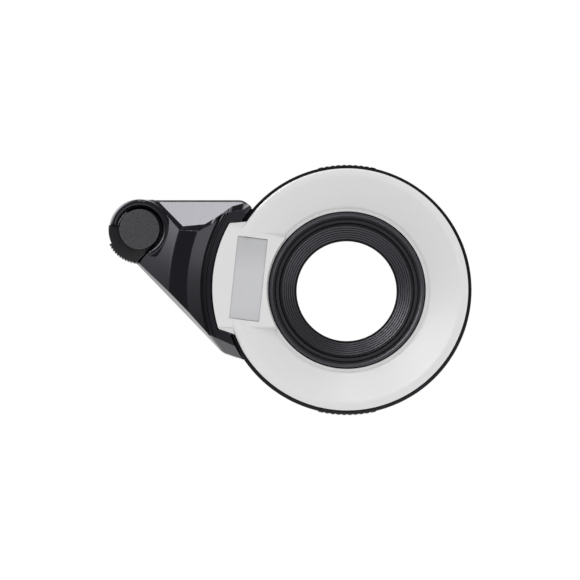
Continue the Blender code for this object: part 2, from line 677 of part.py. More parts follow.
def make_baffle():
    """Black bore: rounded bead at the mouth, a plain wall and ledge, then a stepped cone that kills glare."""
    outer = MOUTH_R - CLEAR
    bead_z = DISH_LOW - BEAD_LOW
    bead_in = outer - BEAD_W
    wall_r = bead_in - BEAD_STEP
    ledge_z = bead_z - WALL_SHARE * BAFFLE_DEPTH
    foot_z = ledge_z - RIDGE_RISE
    cone_r = wall_r - LEDGE_W
    low = bead_z - BAFFLE_DEPTH
    pitch = (cone_r - APERTURE_R) / RIDGES
    drop = (ledge_z - low) / RIDGES
    groove = LEDGE_GROOVE
    profile = [(outer, SHOULDER_Z), (outer, bead_z - BEAD_W / 2),
               (outer - BEAD_W * 0.2, bead_z - BEAD_W * 0.1), (outer - BEAD_W * 0.5, bead_z),
               (outer - BEAD_W * 0.85, bead_z - BEAD_W * 0.15), (bead_in, bead_z - BEAD_W / 2),
               (wall_r, foot_z), (wall_r - groove, foot_z), (wall_r - 2 * groove, ledge_z),
               (cone_r + 2 * groove, ledge_z), (cone_r + groove, foot_z - RIDGE_RISE)]
    for i in range(RIDGES):
        radius = cone_r - pitch * i
        z = ledge_z - drop * i
        profile += [(radius - pitch * 0.1, z - RIDGE_RISE), (radius - pitch * 0.7, z - RIDGE_RISE / 2)]
    rear_r = MOUTH_R - WALL - 2 * CLEAR
    rear_z = low - BAFFLE_WALL
    profile += [(APERTURE_R, low), (APERTURE_R, low - BAFFLE_WALL / 2), (APERTURE_R + BAFFLE_WALL, rear_z),
                (cone_r + BAFFLE_WALL, NECK_Z), (rear_r, NECK_Z), (rear_r, SHOULDER_Z)]
    return turned("baffle_tube", profile, BORE_STEPS)


def make_ring_reflector():
    low = TRAY_Z + CLEAR
    top = low + LINER_T
    inner = DISH_IN_R + LINER_STEP
    outer = RING_R - RIM_WALL - CLEAR
    return turned("ring_reflector", [(inner, low), (outer, low), (outer, top), (inner, top)], RING_STEPS)


def make_arm_reflector():
    """Slanting plate under the arm's hood that throws the flash's light sideways into the ring."""
    end = MIRROR_IN + MIRROR_LONG
    low_z = MIRROR_TOP - MIRROR_LONG
    plate = [(MIRROR_IN, MIRROR_TOP), (end, low_z), (end, low_z - MIRROR_T),
             (MIRROR_IN, MIRROR_TOP - MIRROR_T)]
    sides = (MIRROR_SHIFT - MIRROR_WIDE / 2, MIRROR_SHIFT + MIRROR_WIDE / 2)
    piece = stacked("arm_reflector", [[Vector((x, y, z)) for x, z in plate] for y in sides])
    return turn_about_axis(piece, BLOCK_AZ)


def make_inlet_window():
    seat = ARM_BACK + ARM_BACK_T + CLEAR
    ledge = 2 * INLET_LEDGE
    gap = 2 * CLEAR
    pane = inlet_block("inlet_window", INLET_LONG + ledge, INLET_WIDE + ledge, seat, seat + INLET_T)
    plug = inlet_block("plug", INLET_LONG - gap, INLET_WIDE - gap, ARM_BACK + CLEAR, seat + INLET_T / 2)
    return join(pane, plug)


def make_lock_ring():
    """Grip ring that turns on the neck; its front channel holds the turning stops and the drag spring."""
    web = CHANNEL_Z
    bore = NECK_R + CLEAR
    recess = RETAINER_R + CLEAR
    loops = []
    back = LOCK_Z + EDGE
    front = LOCK_TOP - EDGE
    for degrees, proud in grip_columns():
        section = [(CHANNEL_OUT_R, web), (CHANNEL_IN_R, web), (CHANNEL_IN_R, LOCK_TOP), (bore, LOCK_TOP),
                   (bore, NECK_Z), (recess, NECK_Z), (recess, LOCK_Z), (LOCK_R - EDGE, LOCK_Z),
                   (LOCK_R, back), (LOCK_R + proud, back + GRIP_END), (LOCK_R + proud, front - GRIP_END),
                   (LOCK_R, front), (LOCK_R - EDGE, LOCK_TOP), (CHANNEL_OUT_R, LOCK_TOP)]
        loops.append([polar(radius, degrees, z) for radius, z in section])
    ring = stacked("lock_ring", loops, closed=True)
    half_stop = math.degrees((STOP_R + CLEAR) / CHANNEL_R)
    low = web - EDGE
    top = LOCK_TOP - CLEAR
    inner = CHANNEL_IN_R - EDGE
    outer = CHANNEL_OUT_R + EDGE
    for start in (STOP_AZ + half_stop, STOP_AZ - LOCK_TURN - half_stop - STOP_BLOCK_ARC):
        join(ring, turned("stop_block", [(inner, low), (outer, low), (outer, top), (inner, top)],
                          3, start, STOP_BLOCK_ARC))
    for place in ring_screw_places(CHANNEL_R, PLATE_SCREW_AZ):
        cut(ring, disc("tapping", HOLE_R, -DEEP, low, place, SCREW_STEPS))
    return ring


def make_drag_spring():
    """Bowed leaf between two pegs of the housing; it rubs on the lock ring's wall and stops its rattle."""
    count = 12
    low = CHANNEL_Z + CLEAR
    high = LOCK_TOP - CLEAR
    loops = []
    for i in range(count + 1):
        share = 2.0 * i / count - 1.0
        degrees = SPRING_AZ + share * SPRING_ARC / 2
        middle = spring_r(share)
        loops.append([polar(middle + across * SPRING_T / 2, degrees, z)
                      for across, z in ((-1, low), (1, low), (1, high), (-1, high))])
    return stacked("drag_spring", loops)


def make_bayonet_plate():
    """Plate screwed behind the lock ring; its three lugs catch behind the camera's lens mount."""
    spacing = 360.0 / LUG_COUNT
    flank = 0.6
    lug_steps = 5
    plain_steps = 11
    plain = (spacing - LUG_ARC - 2 * flank) / plain_steps
    turns = []
    for i in range(LUG_COUNT):
        first = LUG_AZ + spacing * i - LUG_ARC / 2
        turns += [(first + LUG_ARC * k / lug_steps, LUG_R) for k in range(lug_steps + 1)]
        turns += [(first + LUG_ARC + flank + plain * k, PLATE_BORE_R) for k in range(plain_steps + 1)]
    loops = []
    for degrees, bore in turns:
        section = [(bore, 0.0), (PLATE_R - EDGE, 0.0), (PLATE_R, EDGE), (PLATE_R, PLATE_T), (bore, PLATE_T)]
        loops.append([polar(radius, degrees, z) for radius, z in section])
    plate = stacked("bayonet_plate", loops, closed=True)
    for place in ring_screw_places(CHANNEL_R, PLATE_SCREW_AZ):
        cut(plate, disc("pass", HOLE_R, -DEEP, DEEP, place, SCREW_STEPS))
        cut(plate, disc("sink", SCREW_HEAD_R + CLEAR, -DEEP, SCREW_HEAD_T + 2 * CLEAR, place, SCREW_STEPS))
    return plate


def make_retaining_ring():
    top = RETAINER_Z + RETAINER_T
    section = [(RETAINER_BORE_R, RETAINER_Z), (RETAINER_R, RETAINER_Z), (RETAINER_R, top),
               (RETAINER_BORE_R, top)]
    ring = turned("retaining_ring", section, RING_STEPS)
    for place in ring_screw_places(NECK_R - NECK_WALL / 2, NECK_SCREW_AZ):
        cut(ring, disc("pass", HOLE_R, -DEEP, DEEP, place, SCREW_STEPS))
    return ring


def make_lever():
    """Thumb lever: round boss, flat tab with a serrated edge, and the shaft that carries the shutter."""
    last = 360.0 + TAB_EDGE_AZ - math.degrees(math.acos(TAB_EDGE / TAB_R))
    within = DISC_R * 0.8
    outline = [polar(TAB_EDGE, TAB_EDGE_AZ)]
    outline += [polar(within, degrees) for degrees in (17.0, 104.0, TAB_START)]
    outline += [polar(TAB_HEEL_R, degrees) for degrees in (TAB_START, (TAB_START + TAB_GRIP) / 2, TAB_GRIP)]
    tooth = (last - TAB_GRIP) / TAB_TEETH
    for i in range(TAB_TEETH):
        outline.append(polar(TAB_R, TAB_GRIP + tooth * (i + 0.3)))
        outline.append(polar(TAB_R, TAB_GRIP + tooth * (i + 0.6)))
        outline.append(polar(TAB_R - TOOTH_DEEP, TAB_GRIP + tooth * (i + 0.95)))
    outline[-1] = polar(TAB_R, last)
    lever = prism("lever", [KNOB + p for p in outline], LEVER_Z, TAB_Z)
    boss_top = DISC_Z - CAP_T - CLEAR
    join(lever, disc("boss", DISC_R, LEVER_Z + SINK, boss_top, KNOB, 2 * SMALL_STEPS))
    join(lever, disc("shaft", SHAFT_R, BLADE_Z + BLADE_T + CLEAR, LEVER_Z + CLEAR, KNOB))
    pilot_top = BLADE_Z + BLADE_SCREW_L + 2 * CLEAR
    cut(lever, disc("pilot", HOLE_R, -DEEP, pilot_top, KNOB, SCREW_STEPS))
    cut(lever, disc("cap_hole", CAP_PIN_R + CLEAR, boss_top - CAP_PIN_L - CLEAR, DEEP, KNOB))
    return lever


def make_lever_cap():
    low = DISC_Z - CAP_T
    rim = [(DISC_R, low), (DISC_R, DISC_Z - CAP_EDGE), (DISC_R - CAP_EDGE, DISC_Z)]
    steps = 2 * SMALL_STEPS
    cap = stacked("lever_cap", [[KNOB + polar(radius, 360.0 * i / steps, z) for i in range(steps)]
                                for radius, z in rim])
    return join(cap, disc("pin", CAP_PIN_R, low - CAP_PIN_L, low + CAP_T / 2, KNOB))


def make_lever_washer():
    low = DRUM_Z + CLEAR
    top = low + WASHER_T
    inner = SHAFT_R + 2 * CLEAR
    section = [(inner, low), (WASHER_R, low), (WASHER_R, top), (inner, top)]
    return turned("lever_washer", section, SMALL_STEPS, centre=KNOB)


def make_shutter_blade():
    """Flat blade on the lever's shaft that swings across the light inlet."""
    corner = BLADE_CORNER
    turn = Matrix.Rotation(math.radians(BLADE_REST), 3, "Z")
    low_end = Vector((BLADE_R, -BLADE_HALF, 0.0))
    high_end = Vector((BLADE_R, BLADE_HALF, 0.0))
    low_hub = Vector((0.0, -BLADE_HUB_R, 0.0))
    high_hub = Vector((0.0, BLADE_HUB_R, 0.0))
    outline = rounded(low_hub, low_end, high_end, corner) + rounded(low_end, high_end, high_hub, corner)
    outline += [polar(BLADE_HUB_R, 90.0 + 180.0 * i / 8) for i in range(9)]
    blade = prism("shutter_blade", [KNOB + turn @ p for p in outline], BLADE_Z, BLADE_Z + BLADE_T)
    return cut(blade, disc("pass", HOLE_R, -DEEP, DEEP, KNOB, SCREW_STEPS))


def finish(name, red, green, blue, roughness, metallic=0.0, transmission=0.0):
    """A plain moulded or metal finish."""
    material = bpy.data.materials.new(name)
    material.use_nodes = True
    shader = material.node_tree.nodes["Principled BSDF"]
    shader.inputs["Base Color"].default_value = (red, green, blue, 1.0)
    shader.inputs["Roughness"].default_value = roughness
    shader.inputs["Metallic"].default_value = metallic
    shader.inputs["Transmission Weight"].default_value = transmission
    return material


def dress(piece, material, parent):
    piece.data.materials.clear()
    piece.data.materials.append(material)
    piece.data.shade_smooth()
    piece.data.set_sharp_from_angle(angle=math.radians(30.0))
    piece.parent = parent


def place_on_axis(piece, axis_point):
    """Moves a piece's origin onto its joint's axis without moving its shape."""
    piece.data.transform(Matrix.Translation(-axis_point))
    piece.location = axis_point


def build():
    clear_scene()
    stand = bpy.data.objects.new("stand", None)
    bpy.context.collection.objects.link(stand)
    stand.rotation_euler = (math.radians(90.0), 0.0, 0.0)

    black = ("black_satin_plastic", 0.014, 0.013, 0.016, 0.35)
    matt_black = ("black_matt_plastic", 0.02, 0.02, 0.023, 0.55)
    white = ("white_diffusing_plastic", 0.72, 0.71, 0.7, 0.5)
    steel = ("bright_steel", 0.6, 0.6, 0.62, 0.3, 1.0)
    clear = ("clear_acrylic", 0.8, 0.83, 0.86, 0.1, 0.0, 0.8)

    frosted = ("frosted_grey_acrylic", 0.56, 0.57, 0.6, 0.4)
    liner = ("white_liner", 0.85, 0.85, 0.84, 0.7)
    mirror = ("mirror_plate", 0.85, 0.85, 0.86, 0.15, 1.0)
    grip = ("black_grip_plastic", 0.017, 0.016, 0.019, 0.5)
    lever_black = ("lever_plastic", 0.02, 0.02, 0.024, 0.4)
    lever_grey = ("lever_cap_plastic", 0.065, 0.063, 0.075, 0.55)

    fixed = [(make_housing(), black), (make_arm_cover(), black), (make_diffuser(), white),
             (make_light_window(), frosted), (make_baffle(), matt_black), (make_ring_reflector(), liner),
             (make_arm_reflector(), mirror), (make_inlet_window(), clear),
             (make_retaining_ring(), matt_black), (make_drag_spring(), steel)]
    head_z = RETAINER_Z - CLEAR - SCREW_HEAD_T
    for i, place in enumerate(ring_screw_places(NECK_R - NECK_WALL / 2, NECK_SCREW_AZ)):
        fixed.append((screw(f"retainer_screw_{i + 1}", place, head_z, NECK_SCREW_L), steel))
    head_z = ARM_BACK + ARM_BACK_T / 2 - CLEAR - SCREW_HEAD_T
    for i, place in enumerate(arm_screw_places()):
        fixed.append((screw(f"arm_screw_{i + 1}", place, head_z, ARM_SCREW_L), steel))

    locking = [(make_lock_ring(), grip), (make_bayonet_plate(), matt_black)]
    for i, place in enumerate(ring_screw_places(CHANNEL_R, PLATE_SCREW_AZ)):
        locking.append((screw(f"bayonet_screw_{i + 1}", place, 0.4 * CLEAR, PLATE_SCREW_L), steel))

    head_z = BLADE_Z - CLEAR - SCREW_HEAD_T
    turning = [(make_lever(), lever_black), (make_lever_cap(), lever_grey), (make_lever_washer(), steel),
               (make_shutter_blade(), matt_black),
               (screw("shutter_screw", KNOB, head_z, BLADE_SCREW_L), steel)]

    for piece, values in fixed + locking:
        dress(piece, finish(*values), stand)
    for piece, values in turning:
        place_on_axis(piece, KNOB)
        dress(piece, finish(*values), stand)


build()
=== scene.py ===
"""Looks of a macro ring-flash diffuser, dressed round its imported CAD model.

Shapes are drawn in a bench frame in millimetres: X right, Y up along the face, Z out of the face.
Each finished piece is then stood up into the model's frame, where the face looks along -Y.
"""

import math

import bmesh
import bpy
from mathutils import Matrix, Vector


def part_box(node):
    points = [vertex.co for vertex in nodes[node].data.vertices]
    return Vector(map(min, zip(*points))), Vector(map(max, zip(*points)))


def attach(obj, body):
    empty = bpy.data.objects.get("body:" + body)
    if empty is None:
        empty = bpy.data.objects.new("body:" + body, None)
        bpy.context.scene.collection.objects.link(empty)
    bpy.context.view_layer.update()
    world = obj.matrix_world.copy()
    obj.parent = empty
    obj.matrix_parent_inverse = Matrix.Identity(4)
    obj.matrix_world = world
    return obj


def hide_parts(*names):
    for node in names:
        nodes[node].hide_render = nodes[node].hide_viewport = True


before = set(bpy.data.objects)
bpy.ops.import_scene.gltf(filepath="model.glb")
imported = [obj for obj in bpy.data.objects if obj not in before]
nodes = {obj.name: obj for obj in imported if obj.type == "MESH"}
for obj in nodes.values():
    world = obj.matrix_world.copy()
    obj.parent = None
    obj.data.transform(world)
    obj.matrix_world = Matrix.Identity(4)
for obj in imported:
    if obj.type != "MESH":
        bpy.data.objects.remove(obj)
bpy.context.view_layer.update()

# Rear housing
# The moulding that carries everything: a shallow tray behind the ring, a short neck on which the lock ring
# turns, and the rear half of the hollow arm. Black injection-moulded plastic with a fine satin face.
MM = 0.001
STAND = Matrix.Rotation(math.radians(90.0), 4, "X") @ Matrix.Scale(MM, 4)
CLEAR = 0.3
CUT_LOW = -10.0
CUT_TOP = 40.0
WALL = 1.3
RING_R = 30.0
RING_STEPS = 160
FLOOR_Z = 6.2
TRAY_Z = 7.1
RIM_Z = 9.2
RIM_R = 30.08
TRAY_R = 28.6
SHELF_R = 21.8
SHELF_Z = 6.6
NECK_R = 22.6
NECK_BORE_R = 20.2
NECK_Z = 3.6
SEAT_R = 17.45
SEAT_Z = 4.4
KNOB = Vector((-49.9, 14.25, 0.0))
DRUM_R = 6.6
DRUM_Z = 8.8
DRUM_T = 2.8
DRUM_BORE_R = 2.2
DRUM_SEAT_R = 5.65
ARM_BACK_Z = 0.6
ARM_BACK_T = 1.4
ARM_PART_Z = 7.4
ARM_CUT_TOP = 20.0
ARM_LAP = 0.7
ARM_TOP = 21.6
SHOULDER_X = -24.9
SIDE_ANGLE = 46.0
SIDE_OFFSET = 6.1
HEEL = Vector((-25.1, -16.8, 0.0))
HEEL_ANGLE = 19.2
SHOULDER_BEND = 3.0
HEEL_BEND = 4.0
ROOT_R = RING_R * 0.8
LOCK_SPACE_R = 31.2
INLET_R = 14.0
INLET_AZ = -36.0
INLET_LONG = 7.0
INLET_WIDE = 5.0
INLET_Z = 3.3
SCREW_HEAD_R = 1.05
GRIP_PATCHES = 2
GRIP_AZ = 90.0
GRIP_RIBS = 8
GRIP_PITCH = 2.65
GRIP_BLOCK = 2.5
GRIP_PROUD = 0.25
GRIP_FULL = 0.7
GRIP_END = 0.6
RING_DRAFT = 0.05


def polar(radius, degrees, height=0.0):
    turn = math.radians(degrees)
    return Vector((radius * math.cos(turn), radius * math.sin(turn), height))


def stacked(loops, closed=False):
    """Loops of equally many points joined by quads, capped at both ends unless the stack closes on itself."""
    bm = bmesh.new()
    rows = [[bm.verts.new(point) for point in loop] for loop in loops]
    pairs = list(zip(rows, rows[1:]))
    if closed:
        pairs.append((rows[-1], rows[0]))
    count = len(rows[0])
    for low, high in pairs:
        for i in range(count):
            j = (i + 1) % count
            bm.faces.new((low[i], low[j], high[j], high[i]))
    if not closed:
        bm.faces.new(rows[0])
        bm.faces.new(rows[-1])
    bmesh.ops.remove_doubles(bm, verts=bm.verts, dist=0.0005)
    bmesh.ops.recalc_face_normals(bm, faces=bm.faces)
    return bm


def turned(profile, steps, start=0.0, sweep=360.0, centre=Vector()):
    """A closed profile of (radius, height) points turned about the Z axis through centre."""
    whole = sweep >= 360.0
    count = steps if whole else steps + 1
    loops = []
    for i in range(count):
        degrees = start + sweep * i / steps
        loops.append([centre + polar(radius, degrees, height) for radius, height in profile])
    return stacked(loops, closed=whole)


def levels(outline, heights):
    return [[Vector((p.x, p.y, height)) for p in outline] for height in heights]


def disc(radius, low, high, centre=Vector(), steps=48):
    return stacked(levels([centre + polar(radius, 360.0 * i / steps) for i in range(steps)], (low, high)))


def softened(corners, closed=True, steps=5):
    """A path of (across, up, radius) corners, each rounded by its own radius."""
    path = []
    count = len(corners)
    for i, (across, up, radius) in enumerate(corners):
        corner = Vector((across, up))
        if radius == 0.0 or (not closed and i in (0, count - 1)):
            path.append((across, up))
            continue
        before = Vector(corners[i - 1][:2]) - corner
        after = Vector(corners[(i + 1) % count][:2]) - corner
        half = before.angle(after) / 2
        reach = min(radius / math.tan(half), before.length * 0.49, after.length * 0.49)
        start = corner + before.normalized() * reach
        end = corner + after.normalized() * reach
        for k in range(steps + 1):
            t = k / steps
            p = start * (1 - t) ** 2 + corner * 2 * t * (1 - t) + end * t * t
            path.append((p.x, p.y))
    return path


def meeting(p, along_p, q, along_q):
    """Where two lines of the XY plane cross."""
    across = along_p.x * along_q.y - along_p.y * along_q.x
    gap = q - p
    return p + along_p * ((gap.x * along_q.y - gap.y * along_q.x) / across)


def arm_outline(end_r, inset=0.0, side_in=0.0, heel_in=0.0):
    """The arm seen from the front, from the shoulder at the ring round the knob to the heel at the ring."""
    top_way = Vector((1.0, 0.0, 0.0))
    shoulder_way = Vector((1.0, -1.0, 0.0))
    shoulder = Vector((SHOULDER_X, ARM_TOP, 0.0)) - Vector((inset, inset, 0.0)) / math.sqrt(2.0)
    upper = meeting(Vector((SHOULDER_X, ARM_TOP - inset, 0.0)), top_way, shoulder, shoulder_way)
    side_way = polar(1.0, -SIDE_ANGLE)
    side_gap = SIDE_OFFSET - inset - side_in
    side = KNOB + polar(side_gap, -SIDE_ANGLE - 90.0)
    heel_way = polar(1.0, -HEEL_ANGLE)
    heel = HEEL + polar(inset + heel_in, 90.0 - HEEL_ANGLE)
    lower = meeting(side, side_way, heel, heel_way)
    upper_end = upper + shoulder_way * (upper.length - ROOT_R)
    lower_end = lower + heel_way * (lower.length - ROOT_R)
    tangent = Vector((KNOB.x + DRUM_R / 2, ARM_TOP - inset, 0.0))
    last = 270.0 - SIDE_ANGLE + math.degrees(math.acos(min(1.0, side_gap / end_r)))
    turns = 40
    end = [KNOB + polar(end_r, 90.0 + (last - 90.0) * i / turns) for i in range(turns + 1)]
    shoulder_bend = softened(
        [(*upper_end.xy, 0.0), (*upper.xy, SHOULDER_BEND), (*tangent.xy, 0.0)], False, 10)
    heel_bend = softened(
        [(*end[-1].xy, 0.0), (*lower.xy, HEEL_BEND), (*lower_end.xy, 0.0)], False, 10)
    return ([Vector((x, y, 0.0)) for x, y in shoulder_bend] + end
            + [Vector((x, y, 0.0)) for x, y in heel_bend[1:]])


def grip(degrees):
    """How far the ring's outside stands out at an angle: patches of round ribs, each closed by two blocks."""
    spacing = 360.0 / GRIP_PATCHES
    off = abs((degrees - GRIP_AZ + spacing / 2) % spacing - spacing / 2)
    half = GRIP_RIBS * GRIP_PITCH / 2
    flank = GRIP_PITCH / 4
    if off < half:
        return GRIP_PROUD * abs(math.sin(math.pi * (off + half) / GRIP_PITCH)) ** GRIP_FULL
    rise = min(1.0, (off - half) / flank, (half + GRIP_BLOCK + flank - off) / flank)
    return GRIP_PROUD * max(0.0, rise)


def grip_turns():
    """Angles round the ring, close together in the patches of ribs."""
    spacing = 360.0 / GRIP_PATCHES
    half = GRIP_RIBS * GRIP_PITCH / 2 + GRIP_BLOCK + GRIP_PITCH / 4
    fine = 110
    plain = 64
    turns = []
    for k in range(GRIP_PATCHES):
        first = GRIP_AZ + spacing * k - half
        turns += [first + 2 * half * i / fine for i in range(fine)]
        turns += [first + 2 * half + (spacing - 2 * half) * i / plain for i in range(plain)]
    return turns


def placed(name, data):
    thing = bpy.data.objects.new(name, data)
    bpy.context.scene.collection.objects.link(thing)
    return thing


def as_mesh(name, bm):
    mesh = bpy.data.meshes.new(name)
    bm.to_mesh(mesh)
    bm.free()
    return mesh


def carved(bm, *tools, operation="DIFFERENCE"):
    """A solid with others cut out of it, or with only what it shares with them."""
    blank = placed("blank", as_mesh("blank", bm))
    for tool in tools:
        cutter = placed("cutter", as_mesh("cutter", tool))
        step = blank.modifiers.new("cut", "BOOLEAN")
        step.object = cutter
        step.operation = operation
        step.solver = "EXACT"
        bpy.context.view_layer.update()
        graph = bpy.context.evaluated_depsgraph_get()
        mesh = bpy.data.meshes.new_from_object(blank.evaluated_get(graph))
        blank.modifiers.clear()
        blank.data = mesh
        bpy.data.objects.remove(cutter, do_unlink=True)
    result = bmesh.new()
    result.from_mesh(blank.data)
    bpy.data.objects.remove(blank, do_unlink=True)
    return result


def merged(first, *others):
    """Several solids as one mesh."""
    for other in others:
        mesh = as_mesh("joining", other)
        first.from_mesh(mesh)
        bpy.data.meshes.remove(mesh)
    return first


def inlet_block(length, width, low, high):
    middle = KNOB + polar(INLET_R, INLET_AZ)
    turn = Matrix.Rotation(math.radians(INLET_AZ), 3, "Z")
    corners = [(-length, -width), (length, -width), (length, width), (-length, width)]
    return stacked(levels([middle + turn @ Vector((x / 2, y / 2, 0.0)) for x, y in corners], (low, high)))


COLOUR_SOCKETS = ("Colour", "Dark", "Light")


def feed(tree, socket, term):
    """Sets a node's input to a value, or joins it to another node's output."""
    if isinstance(term, bpy.types.NodeSocket):
        tree.links.new(term, socket)
    else:
        socket.default_value = term


def computed(tree, operation, *terms):
    """What a Math node makes of its terms, which are numbers or other nodes' outputs."""
    node = tree.nodes.new("ShaderNodeMath")
    node.operation = operation
    for socket, term in zip(node.inputs, terms):
        feed(tree, socket, term)
    return node.outputs["Value"]


def ranged(tree, value, start, end, low, high, easing="LINEAR"):
    """A value that runs from start to end, brought to run from low to high."""
    node = tree.nodes.new("ShaderNodeMapRange")
    node.interpolation_type = easing
    names = ("Value", "From Min", "From Max", "To Min", "To Max")
    for name, term in zip(names, (value, start, end, low, high)):
        feed(tree, node.inputs[name], term)
    return node.outputs["Result"]


def begun_look(name, inputs, outputs):
    """A new node group with named sockets; gives the group, what it is given and what it puts out."""
    group = bpy.data.node_groups.new(name, "ShaderNodeTree")
    for side, sockets in (("INPUT", inputs), ("OUTPUT", outputs)):
        for socket in sockets:
            kind = "NodeSocketColor" if socket in COLOUR_SOCKETS else "NodeSocketFloat"
            group.interface.new_socket(socket, in_out=side, socket_type=kind)
    return group, group.nodes.new("NodeGroupInput").outputs, group.nodes.new("NodeGroupOutput").inputs


def moulded_skin_group():
    """Shared look of moulded plastic: a fine grain for the bump, and slow mottling of colour and gloss."""
    group, given, put_out = begun_look(
        "moulded_skin", ("Colour", "Grain Scale", "Mottle", "Fleck", "Roughness", "Roughness Spread"),
        ("Colour", "Roughness", "Height"))
    new = group.nodes.new
    link = group.links.new
    place = new("ShaderNodeTexCoord")
    grain = new("ShaderNodeTexNoise")
    grain.inputs["Detail"].default_value = 3.0
    grain.inputs["Roughness"].default_value = 0.6
    link(place.outputs["Object"], grain.inputs["Vector"])
    link(given["Grain Scale"], grain.inputs["Scale"])
    cloud = new("ShaderNodeTexNoise")
    cloud.inputs["Scale"].default_value = 90.0
    cloud.inputs["Detail"].default_value = 4.0
    link(place.outputs["Object"], cloud.inputs["Vector"])
    around = ranged(group, cloud.outputs["Fac"], 0.25, 0.75, -1.0, 1.0)
    shade = computed(group, "MULTIPLY_ADD", around, given["Mottle"], 1.0)
    speck = ranged(group, grain.outputs["Fac"], 0.3, 0.7, -1.0, 1.0)
    flecked = computed(group, "MULTIPLY_ADD", speck, given["Fleck"], shade)
    colour = new("ShaderNodeVectorMath")
    colour.operation = "SCALE"
    link(given["Colour"], colour.inputs["Vector"])
    link(flecked, colour.inputs["Scale"])
    link(colour.outputs["Vector"], put_out["Colour"])
    fine = grain.outputs["Fac"]
    rough = computed(group, "MULTIPLY_ADD", fine, given["Roughness Spread"], given["Roughness"])
    link(rough, put_out["Roughness"])
    link(fine, put_out["Height"])
    return group


MOULDED_SKIN = moulded_skin_group()
EDGE_ROUND = 0.1
GRAIN_DEEP = 0.02
COOL_SHEEN = (0.94, 0.915, 1.0, 1.0)


def shader_inputs(material):
    return material.node_tree.nodes["Principled BSDF"].inputs


def with_look(name, look, values):
    """A new material that takes its colour and roughness from a look, placed with its own values."""
    material = bpy.data.materials.new(name)
    material.use_nodes = True
    skin = material.node_tree.nodes.new("ShaderNodeGroup")
    skin.name = "Look"
    skin.node_tree = look
    for socket, value in values.items():
        skin.inputs[socket].default_value = value
    for out, into in (("Colour", "Base Color"), ("Roughness", "Roughness")):
        material.node_tree.links.new(skin.outputs[out], shader_inputs(material)[into])
    return material


def moulded(name, colour, roughness, spread, grain_mm, bump, mottle=0.05, fleck=0.0):
    """A moulded plastic: colour, gloss, size of grain in millimetres, and how strongly the grain stands out.

    Every hard edge is rounded a little in the shading, as a mould leaves it.
    """
    material = with_look(name, MOULDED_SKIN, {
        "Colour": (*colour, 1.0), "Grain Scale": 1.0 / (grain_mm * MM), "Mottle": mottle, "Fleck": fleck,
        "Roughness": roughness - spread / 2, "Roughness Spread": spread})
    tree = material.node_tree
    edges = tree.nodes.new("ShaderNodeBevel")
    edges.inputs["Radius"].default_value = EDGE_ROUND * MM
    lift = tree.nodes.new("ShaderNodeBump")
    lift.inputs["Strength"].default_value = bump
    lift.inputs["Distance"].default_value = GRAIN_DEEP * MM
    tree.links.new(edges.outputs["Normal"], lift.inputs["Normal"])
    tree.links.new(tree.nodes["Look"].outputs["Height"], lift.inputs["Height"])
    tree.links.new(lift.outputs["Normal"], shader_inputs(material)["Normal"])
    return material


def stand_up(name, bm, material, sharp=32.0):
    """A finished mesh in the model's frame, smooth but for its edges."""
    bmesh.ops.transform(bm, matrix=STAND, verts=bm.verts)
    mesh = as_mesh(name, bm)
    mesh.shade_smooth()
    mesh.set_sharp_from_angle(angle=math.radians(sharp))
    mesh.materials.append(material)
    return placed(name, mesh)


satin_black = moulded("satin_black", (0.0058, 0.0052, 0.0078), 0.16, 0.06, 0.12, 0.06)
shader_inputs(satin_black)["Specular Tint"].default_value = COOL_SHEEN

tray_inside = softened([
    (RIM_R - 0.15, RIM_Z, 0.0), (TRAY_R, RIM_Z, 0.2), (TRAY_R, TRAY_Z, 0.0), (SHELF_R, TRAY_Z, 0.0),
    (SHELF_R, SHELF_Z, 0.0), (NECK_BORE_R, SHELF_Z, 0.0), (NECK_BORE_R, SEAT_Z, 0.0), (SEAT_R, SEAT_Z, 0.0),
    (SEAT_R, NECK_Z, 0.0), (NECK_R, NECK_Z, 0.2), (NECK_R, FLOOR_Z, 0.0), (RIM_R - 0.6, FLOOR_Z, 0.0)],
    closed=False, steps=4)
loops = []
for degrees in grip_turns():
    proud = grip(degrees)
    low_r = RIM_R - RING_DRAFT * (RIM_Z - FLOOR_Z)
    section = tray_inside + [(low_r - 0.15, FLOOR_Z), (low_r, FLOOR_Z + 0.15)]
    for share in (0.0, 0.3, 0.6, 0.8, 0.92):
        height = RIM_Z - 0.1 - GRIP_END * (1.0 - share)
        section.append((RIM_R - RING_DRAFT * (RIM_Z - height) + proud * math.sqrt(1.0 - share ** 2), height))
    section += [(RIM_R, RIM_Z - 0.1), (RIM_R - 0.04, RIM_Z - 0.03)]
    loops.append([polar(radius, degrees, height) for radius, height in section])
tray = stacked(loops, closed=True)
back_edge = [(0.65, ARM_BACK_Z), (0.35, ARM_BACK_Z + 0.12), (0.12, ARM_BACK_Z + 0.4), (0.0, ARM_BACK_Z + 1.0)]
rear_arm = stacked([[p + Vector((0, 0, height)) for p in arm_outline(DRUM_R - inset, inset)]
                    for inset, height in back_edge + [(0.0, ARM_PART_Z)]])
hollow = carved(stacked(levels(arm_outline(DRUM_R - WALL, WALL), (ARM_BACK_Z + ARM_BACK_T, ARM_CUT_TOP))),
                disc(LOCK_SPACE_R + WALL, CUT_LOW, CUT_TOP, steps=RING_STEPS))
rear_arm = carved(rear_arm, hollow, disc(LOCK_SPACE_R, CUT_LOW, FLOOR_Z + 0.1, steps=RING_STEPS),
                  disc(RING_R - ARM_LAP, CUT_LOW, CUT_TOP, steps=RING_STEPS),
                  inlet_block(INLET_LONG, INLET_WIDE, CUT_LOW, INLET_Z),
                  disc(SCREW_HEAD_R + 2 * CLEAR, CUT_LOW, INLET_Z, KNOB))


def seat_of(node):
    """Where the axis of a node that points front to back lies on the bench."""
    low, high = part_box(node)
    return Vector(((low.x + high.x) / 2, (low.z + high.z) / 2, 0.0)) / MM


